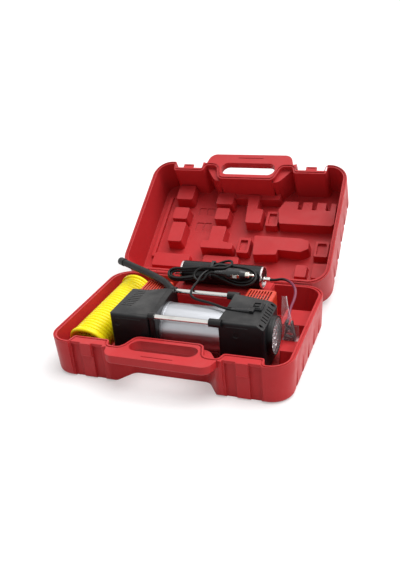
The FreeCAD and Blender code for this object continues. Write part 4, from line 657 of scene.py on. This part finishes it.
class FitStage(bpy.types.Operator):
    """Sets the floor, the soft light and the camera."""

    bl_idname = "inflator.fit_stage"
    bl_label = "Stage, light and camera"

    def execute(self, context):
        scene = context.scene
        self.lay_floor(scene)
        self.light_world(scene)
        self.hang_lights(scene)
        self.set_camera(scene)
        scene.view_settings.view_transform = "Standard"
        return {"FINISHED"}

    def lay_floor(self, scene):
        """The floor under the case, which is stage and no piece of the part."""
        shape = bmesh.new()
        bmesh.ops.create_grid(shape, x_segments=1, y_segments=1, size=FLOOR_SIZE)
        floor = bpy.data.meshes.new("floor")
        shape.to_mesh(floor)
        shape.free()
        floor.materials.append(self.floor_finish())
        ground = bpy.data.objects.new("floor", floor)
        scene.collection.objects.link(ground)

    def floor_finish(self):
        """Pale paper that stays white in the picture and still takes the shadow."""
        material, tree, shader = start_finish("Pale floor", Roughness=0.9, Specular_IOR_Level=0.1,
                                              Base_Color=(0.6, 0.6, 0.6, 1.0))
        glow = tree.nodes.new("ShaderNodeEmission")
        glow.inputs["Strength"].default_value = FLOOR_GLOW
        both = tree.nodes.new("ShaderNodeAddShader")
        choose = tree.nodes.new("ShaderNodeMixShader")
        tree.links.new(shader.outputs["BSDF"], both.inputs[0])
        tree.links.new(glow.outputs["Emission"], both.inputs[1])
        tree.links.new(self.shown_part(tree), choose.inputs[0])
        tree.links.new(shader.outputs["BSDF"], choose.inputs[1])
        tree.links.new(both.outputs["Shader"], choose.inputs[2])
        tree.links.new(choose.outputs["Shader"], tree.nodes["Material Output"].inputs["Surface"])
        return material

    def shown_part(self, tree):
        """1 for what the camera, a reflection or clear plastic shows."""
        path = tree.nodes.new("ShaderNodeLightPath").outputs
        shown = math_node(tree, "MAXIMUM", path["Is Camera Ray"], path["Is Glossy Ray"])
        return math_node(tree, "MAXIMUM", shown, path["Is Transmission Ray"])

    def light_world(self, scene):
        """Even light from all round, and a white backdrop wherever it shows."""
        world = bpy.data.worlds.new("Studio")
        world.use_nodes = True
        tree = world.node_tree
        around = tree.nodes["Background"]
        around.inputs["Strength"].default_value = scene.inflator_stage.sky_level
        shown = tree.nodes.new("ShaderNodeBackground")
        choose = tree.nodes.new("ShaderNodeMixShader")
        for background in (around, shown):
            background.inputs["Color"].default_value = (1.0, 1.0, 1.0, 1.0)
        tree.links.new(self.shown_part(tree), choose.inputs[0])
        tree.links.new(around.outputs["Background"], choose.inputs[1])
        tree.links.new(shown.outputs["Background"], choose.inputs[2])
        tree.links.new(choose.outputs["Shader"], tree.nodes["World Output"].inputs["Surface"])
        scene.world = world

    def hang_lights(self, scene):
        """A large light overhead and a weaker one from the right."""
        for name, way, share in LIGHTS:
            light = bpy.data.lights.new(name, "SUN")
            light.energy = scene.inflator_stage.key_level * share
            light.angle = LIGHT_SPREAD
            holder = bpy.data.objects.new(name, light)
            holder.rotation_euler = Vector(way).to_track_quat("Z", "Y").to_euler()
            scene.collection.objects.link(holder)

    def set_camera(self, scene):
        """The photograph's view of the case."""
        place = scene.inflator_stage
        across = math.cos(place.elevation)
        back = Vector((math.sin(place.azimuth) * across, -math.cos(place.azimuth) * across,
                       math.sin(place.elevation)))
        level = Vector((0, 0, 1)).cross(back).normalized()
        upright = back.cross(level)
        right = level * math.cos(place.roll) + upright * math.sin(place.roll)
        up = upright * math.cos(place.roll) - level * math.sin(place.roll)
        camera = bpy.data.cameras.new("camera")
        camera.sensor_fit = "HORIZONTAL"
        camera.sensor_width = SENSOR_WIDTH
        camera.lens = SENSOR_WIDTH * FOCAL_PIXELS / FRAME_PIXELS
        camera.clip_start = 0.05
        holder = bpy.data.objects.new("camera", camera)
        stand = Matrix.Translation(Vector(place.target) + back * place.distance)
        holder.matrix_world = stand @ Matrix((right, up, back)).transposed().to_4x4()
        scene.collection.objects.link(holder)
        scene.camera = holder


class FinishCase(bpy.types.Operator):
    """Gives the case, its lid and the hinge pins their finish."""

    bl_idname = "inflator.finish_case"
    bl_label = "Case and lid"

    def execute(self, context):
        look = context.scene.inflator_case
        # The case's edges are paled towards the rim red, partly rubbed wear and partly a painted
        # highlight. Its default dust amount also pales its tops, with dust and painted top light.
        put_on(moulded_plastic("Moulded red", look.case_red, look.case_gloss, look.grain_height,
                               rub_and_highlight=0.55, radius=0.0016, lighter=look.rubbed_and_highlit_red,
                               grain_scale=900.0, Specular_IOR_Level=0.22),
               "case_base", "case_lid")
        put_on(bright_metal("Pin steel", (0.55, 0.55, 0.56, 1.0), 0.3), "hinge_pins")
        return {"FINISHED"}


# Small metal parts of the compressor: finish, colour, roughness and nodes.
PLAIN_METALS = (
    ("Screw steel", (0.3, 0.3, 0.31, 1.0), 0.3, ("housing_screws",)),
    ("Bell steel", (0.45, 0.45, 0.47, 1.0), 0.35, ("motor_end_bells",)),
    ("Shaft steel", (0.62, 0.62, 0.63, 1.0), 0.2, ("armature_shaft",)),
    ("Gear steel", (0.46, 0.46, 0.48, 1.0), 0.32,
     ("drive_pinions", "left_crank_gear", "right_crank_gear")),
    ("Bush brass", (0.68, 0.48, 0.2, 1.0), 0.3, ("motor_bushes",)),
    ("Piston casting", (0.6, 0.6, 0.62, 1.0), 0.3, ("left_piston", "right_piston")),
)


class FinishCompressor(bpy.types.Operator):
    """Finishes both housings, the barrel, rods, guards and what they hold."""

    bl_idname = "inflator.finish_compressor"
    bl_label = "Compressor"

    def execute(self, context):
        look = context.scene.inflator_compressor
        self.finish_outside(look)
        self.finish_inside()
        for name, colour, gloss, nodes in PLAIN_METALS:
            put_on(bright_metal(name, colour, gloss), *nodes)
        return {"FINISHED"}

    def finish_outside(self, look):
        """What shows of the compressor in the open case."""
        # The housings' up-facing faces turn pale grey through the dust amount: mostly painted top
        # light over near-black fronts, and a little dust.
        put_on(moulded_plastic("Housing grey", look.housing_grey, 0.42, 0.00016, rub_and_highlight=0.3, dust_and_top_light_amount=0.09,
                               grain_scale=1100.0, lighter=(0.07, 0.07, 0.075, 1.0),
                               Specular_IOR_Level=0.22),
               "left_housing", "right_housing")
        put_on(moulded_plastic("Flange black", look.part_black, 0.38, 0.0001, rub_and_highlight=0.2, dust_and_top_light_amount=0.05,
                               lighter=(0.05, 0.05, 0.055, 1.0), Specular_IOR_Level=0.25),
               "motor_flange", "rod_sockets", "lamp_bezel")
        put_on(moulded_plastic("Switch black", look.part_black, 0.3, 0.00004, rub_and_highlight=0.35,
                               radius=0.0006, lighter=(0.08, 0.08, 0.085, 1.0),
                               Specular_IOR_Level=0.35),
               "switch_frame", "switch_rocker")
        put_on(bright_metal("Barrel silver", look.barrel_silver, 0.36, line_height=0.000001,
                            line_scale=500.0, tarnish=0.98),
               "motor_barrel")
        put_on(bright_metal("Rod chrome", look.chrome, 0.1, line_height=0.000001,
                            line_scale=700.0),
               "front_tie_rod", "rear_tie_rod")
        put_on(moulded_plastic("Guard red", look.guard_red, 0.34, 0.00006, rub_and_highlight=0.45,
                               radius=0.0008, lighter=(0.75, 0.2, 0.14, 1.0)),
               "left_cylinder_guard", "right_cylinder_guard")
        put_on(soft_rubber("Foot rubber", (0.012, 0.012, 0.012, 1.0), 0.75), "rubber_feet")
        put_on(soft_rubber("Relief rubber", (0.012, 0.012, 0.013, 1.0), 0.5), "strain_relief")

    def finish_inside(self):
        """Magnets, brushes, winding and cylinders, which the housings and the barrel hold."""
        put_on(moulded_plastic("Magnet grey", (0.05, 0.05, 0.055, 1.0), 0.6, 0.0002),
               "motor_magnets")
        put_on(moulded_plastic("Brush carbon", (0.02, 0.02, 0.02, 1.0), 0.55, 0.0001),
               "motor_brushes")
        put_on(bright_metal("Winding copper", (0.66, 0.3, 0.14, 1.0), 0.35, line_height=0.0001,
                            line_scale=500.0),
               "armature_core")
        put_on(bright_metal("Cylinder casting", (0.62, 0.62, 0.63, 1.0), 0.45,
                            line_height=0.00006, line_scale=400.0),
               "left_cylinder", "right_cylinder")


class FinishLamp(bpy.types.Operator):
    """Finishes the end lamp: its bowl, its lens and its board."""

    bl_idname = "inflator.finish_lamp"
    bl_label = "End lamp"

    def execute(self, context):
        # The pink tint of the plating is a painted reflection of the red case.
        plating = reflector_finish("Reflector with painted reflections", (0.95, 0.88, 0.91, 1.0))
        put_on(plating, "lamp_reflector")
        self.press_bowl(plating)
        put_on(clear_lens("Lens clear", (0.97, 0.98, 1.0, 1.0)), "lamp_lens")
        put_on(moulded_plastic("Board green", (0.02, 0.16, 0.05, 1.0), 0.4, 0.00005), "lamp_board")
        return {"FINISHED"}

    def press_bowl(self, plating):
        """The reflector's bowl, turned from a few steps and left in flat facets."""
        steps, facets, flare = 7, 26, 1.15
        low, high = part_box("lamp_reflector")
        middle = Vector((0.0, (low[1] + high[1]) / 2, (low[2] + high[2]) / 2))
        deep, rim = low[0] + 0.001, high[0]
        inner, outer = 0.009, (high[2] - low[2]) / 2
        shape = bmesh.new()
        corners = []
        for index in range(steps + 1):
            share = index / steps
            x = deep + (rim - deep) * share ** flare
            z = middle.z + inner + (outer - inner) * share
            corners.append(shape.verts.new((x, middle.y, z)))
        edges = [shape.edges.new(pair) for pair in zip(corners, corners[1:])]
        bmesh.ops.spin(shape, geom=corners + edges, cent=middle, axis=(1, 0, 0),
                       angle=2 * math.pi, steps=facets, use_merge=True)
        bmesh.ops.recalc_face_normals(shape, faces=shape.faces)
        bowl = mesh_piece("lamp_bowl", shape, plating, smooth=False)
        wall = bowl.modifiers.new("wall", "SOLIDIFY")
        wall.thickness = 0.0006
        wall.offset = -1.0
        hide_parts("lamp_reflector")


class LayPowerCord(bpy.types.Operator):
    """Lays the power cord from its relief through the hank to the plug, and finishes the plug."""

    bl_idname = "inflator.lay_power_cord"
    bl_label = "Power cord and plug"

    def execute(self, context):
        look = context.scene.inflator_cords
        black = soft_rubber("Cord black", look.cord_black, 0.36, 0.00003, dust_and_top_light_amount=0.0,
                            Specular_IOR_Level=0.25)
        route = RELIEF_TO_HANK + [hank_spot(*spot) for spot in OVER_THE_TIE] + [INTO_THE_HANK]
        route += hank_route() + [hank_spot(*spot) for spot in TAIL]
        cord = laid_cord("power_cord_line", route, look.cord_diameter, black)
        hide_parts("power_cord", "cord_hank", "cord_tail")
        put_on(moulded_plastic("Plug black", (0.012, 0.012, 0.013, 1.0), 0.36, 0.00006, rub_and_highlight=0.25,
                               lighter=(0.08, 0.08, 0.08, 1.0)), "plug_body")
        nickel = bright_metal("Contact nickel", (0.82, 0.8, 0.72, 1.0), 0.16)
        put_on(nickel, "plug_contacts", "plug_ring", "plug_tip", "plug_spring")
        self.wind_spring(nickel)
        put_on(soft_rubber("Tie black", (0.014, 0.014, 0.015, 1.0), 0.4), "cord_tie")
        return {"FINISHED"}

    def wind_spring(self, nickel):
        """The spring behind the plug's pin, wound from round wire."""
        low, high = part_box("plug_spring")
        wire, turns, corners, travel = 0.0004, 5, 16, 0.004
        middle = Vector((low.x + wire, (low.y + high.y) / 2, (low.z + high.z) / 2))
        beside = middle + Vector((0, (high.y - low.y) / 2 - wire, 0))
        shape = bmesh.new()
        ring = bmesh.ops.create_circle(shape, segments=8, radius=wire)["verts"]
        bmesh.ops.translate(shape, verts=ring, vec=beside)
        rise = (high.x - low.x - 2 * wire) / (turns * corners)
        bmesh.ops.spin(shape, geom=shape.verts[:] + shape.edges[:], cent=middle, axis=(1, 0, 0),
                       dvec=(rise, 0, 0), angle=2 * math.pi * turns, steps=turns * corners)
        bmesh.ops.holes_fill(shape, edges=[edge for edge in shape.edges if edge.is_boundary])
        bmesh.ops.recalc_face_normals(shape, faces=shape.faces)
        spring = mesh_piece("plug_spring_wire", shape, nickel)
        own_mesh(spring)
        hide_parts("plug_spring")


class LayHoses(bpy.types.Operator):
    """Lays the outlet hose and the yellow recoil hose, and finishes their fittings."""

    bl_idname = "inflator.lay_hoses"
    bl_label = "Outlet hose and recoil hose"

    def execute(self, context):
        look = context.scene.inflator_cords
        self.lay_outlet(look)
        self.lay_coil(look)
        return {"FINISHED"}

    def lay_outlet(self, look):
        """The stiff hose that rises from the flange to the back left."""
        rubber = soft_rubber("Hose black", look.cord_black, 0.46, 0.00008, Specular_IOR_Level=0.3)
        hose = laid_cord("outlet_hose_line", OUTLET_ROUTE, look.outlet_diameter, rubber, sides=6,
                         steps=10)
        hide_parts("outlet_hose")
        put_on(soft_rubber("Boot black", look.cord_black, 0.42), "outlet_boot", "outlet_union")

    def lay_coil(self, look):
        """The yellow hose that lies coiled at the left."""
        yellow = soft_rubber("Recoil yellow", look.coil_yellow, 0.36, 0.00003, dust_and_top_light_amount=0.0,
                             Subsurface_Weight=0.1, Subsurface_Radius=(0.006, 0.004, 0.001),
                             Specular_IOR_Level=0.3)
        route = coil_route(turns=25.5, per_turn=16, lean=12.0)
        coil = laid_cord("recoil_hose_line", route, look.coil_tube, yellow, sides=4, steps=3)
        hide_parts("coil_hose")
        put_on(bright_metal("Fitting brass", (0.72, 0.55, 0.28, 1.0), 0.22), "coil_front_fitting",
               "coil_rear_fitting")


class FitAccessories(bpy.types.Operator):
    """Finishes the accessory tube and clamp, and lays the clamp's lead."""

    bl_idname = "inflator.fit_accessories"
    bl_label = "Accessory tube, lead and clamp"

    def execute(self, context):
        look = context.scene.inflator_cords
        chrome = context.scene.inflator_compressor.chrome
        put_on(moulded_plastic("Tube black", (0.003, 0.003, 0.0035, 1.0), 0.34, 0.00003, rub_and_highlight=0.1,
                               dust_and_top_light_amount=0.01, Specular_IOR_Level=0.3), "accessory_tube")
        # The rings' pink tint is a painted reflection of the red case.
        put_on(bright_metal("Ring plate with painted pink reflection", (0.85, 0.74, 0.74, 1.0), 0.18), "accessory_tube_rings")
        put_on(bright_metal("Fitting chrome", chrome, 0.1), "accessory_fitting")
        plum = lead_jacket("Lead plum", look.cord_black, look.lead_plum)
        lead = laid_cord("clamp_lead_line", LEAD_ROUTE, look.lead_diameter, plum, sides=4,
                         steps=10)
        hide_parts("accessory_lead")
        put_on(moulded_plastic("Clamp black", (0.016, 0.017, 0.018, 1.0), 0.4, 0.00008, rub_and_highlight=0.3,
                               lighter=(0.12, 0.12, 0.12, 1.0)),
               "clamp_fixed_jaw", "clamp_moving_jaw")
        put_on(bright_metal("Clamp steel", (0.6, 0.6, 0.6, 1.0), 0.25), "clamp_pin", "clamp_spring")
        return {"FINISHED"}


# The bag's fold, seen from the right, as y and z in millimetres: down behind the clamp, forward
# under it and up in front of it. BAG_UNDER is the last stretch of the fold that lies under it.
BAG_LINE = [
    (2.4, 63.0), (2.3, 50.0), (1.8, 41.2), (-1.0, 40.62), (-7.0, 40.6), (-12.3, 40.9),
    (-12.9, 52.0), (-12.9, 66.0), (-12.3, 82.0), (-11.4, 98.0), (-7.6, 110.0), (-4.2, 120.6),
]
BAG_UNDER = 4
BAG_LEFT, BAG_RIGHT = 168.8, 195.6
BAG_LOW, BAG_TALL = 41.0, 80.0
BAG_FRONT, BAG_BACK = -13.1, 2.5


class FitBag(bpy.types.Operator):
    """Drapes the clear bag round the clamp."""

    bl_idname = "inflator.fit_bag"
    bl_label = "Clear bag"

    def execute(self, context):
        runs = [0.0]
        for first, second in zip(BAG_LINE, BAG_LINE[1:]):
            runs.append(runs[-1] + math.dist(first, second))
        shape = bmesh.new()
        bmesh.ops.create_grid(shape, x_segments=14, y_segments=60, size=0.5)
        for vertex in shape.verts:
            vertex.co = self.film_spot(runs, vertex.co.x + 0.5, vertex.co.y + 0.5)
        bmesh.ops.recalc_face_normals(shape, faces=shape.faces)
        # The film's pinkish pale colour shows where it turns away, as a painted sheen.
        film = mesh_piece("bag_film", shape, clear_film("Film with painted sheen", (0.95, 0.9, 0.94, 1.0)))
        thick = film.modifiers.new("thickness", "SOLIDIFY")
        thick.thickness = 0.00012
        thick.offset = 0.0
        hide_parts("accessory_bag")
        return {"FINISHED"}

    def film_spot(self, runs, side, share):
        """Where a spot of the flat film comes to lie, in metres."""
        reach = share * runs[-1]
        index = max(i for i in range(len(runs) - 1) if runs[i] <= reach + 1e-9)
        part = (reach - runs[index]) / (runs[index + 1] - runs[index])
        (y, z), (next_y, next_z) = BAG_LINE[index], BAG_LINE[index + 1]
        y, z = y + (next_y - y) * part, z + (next_z - z) * part
        height = max(0.0, (z - BAG_LOW) / BAG_TALL)
        taper = 20.0 * (1.0 if index > BAG_UNDER else 0.2)
        x = BAG_LEFT + (BAG_RIGHT - taper * height - BAG_LEFT) * side
        waves = noise.noise(Vector((side * 3.1, share * 11.0, 4.0)))
        crease = waves * 1.5 * min(1.0, height * 4.0)
        curl = 2.2 * max(0.0, (side - 0.82) / 0.18) ** 2 * min(1.0, height * 3.0)
        y = min(BAG_BACK, max(BAG_FRONT, y + crease + curl))
        return Vector((x, y, z)) / 1000


class InflatorPanel(bpy.types.Panel):
    """Lists the steps and the settings."""

    bl_idname = "VIEW3D_PT_inflator"
    bl_label = "Boxed tyre inflator"
    bl_space_type = "VIEW_3D"
    bl_region_type = "UI"
    bl_category = "Inflator"

    def draw(self, context):
        for step in STEPS:
            self.layout.operator(step.bl_idname)
        for name, group in SETTINGS.items():
            box = self.layout.box()
            for label in group.__annotations__:
                box.prop(getattr(context.scene, name), label)


STEPS = (FitStage, FinishCase, FinishCompressor, FinishLamp, LayPowerCord, LayHoses,
         FitAccessories, FitBag)
SETTINGS = {
    "inflator_case": CaseSettings,
    "inflator_compressor": CompressorSettings,
    "inflator_cords": CordSettings,
    "inflator_stage": StageSettings,
}


def register():
    """Registers the classes and hangs the settings on the scene."""
    for kind in (*SETTINGS.values(), *STEPS, InflatorPanel):
        bpy.utils.register_class(kind)
    for name, group in SETTINGS.items():
        setattr(bpy.types.Scene, name, bpy.props.PointerProperty(type=group))


def unregister():
    """Takes the settings and the classes away again."""
    for name in SETTINGS:
        delattr(bpy.types.Scene, name)
    for kind in reversed((*SETTINGS.values(), *STEPS, InflatorPanel)):
        bpy.utils.unregister_class(kind)


def main():
    """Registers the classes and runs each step."""
    register()
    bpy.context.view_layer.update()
    for step in STEPS:
        area, name = step.bl_idname.split(".")
        getattr(getattr(bpy.ops, area), name)()


if __name__ == "__main__":
    main()
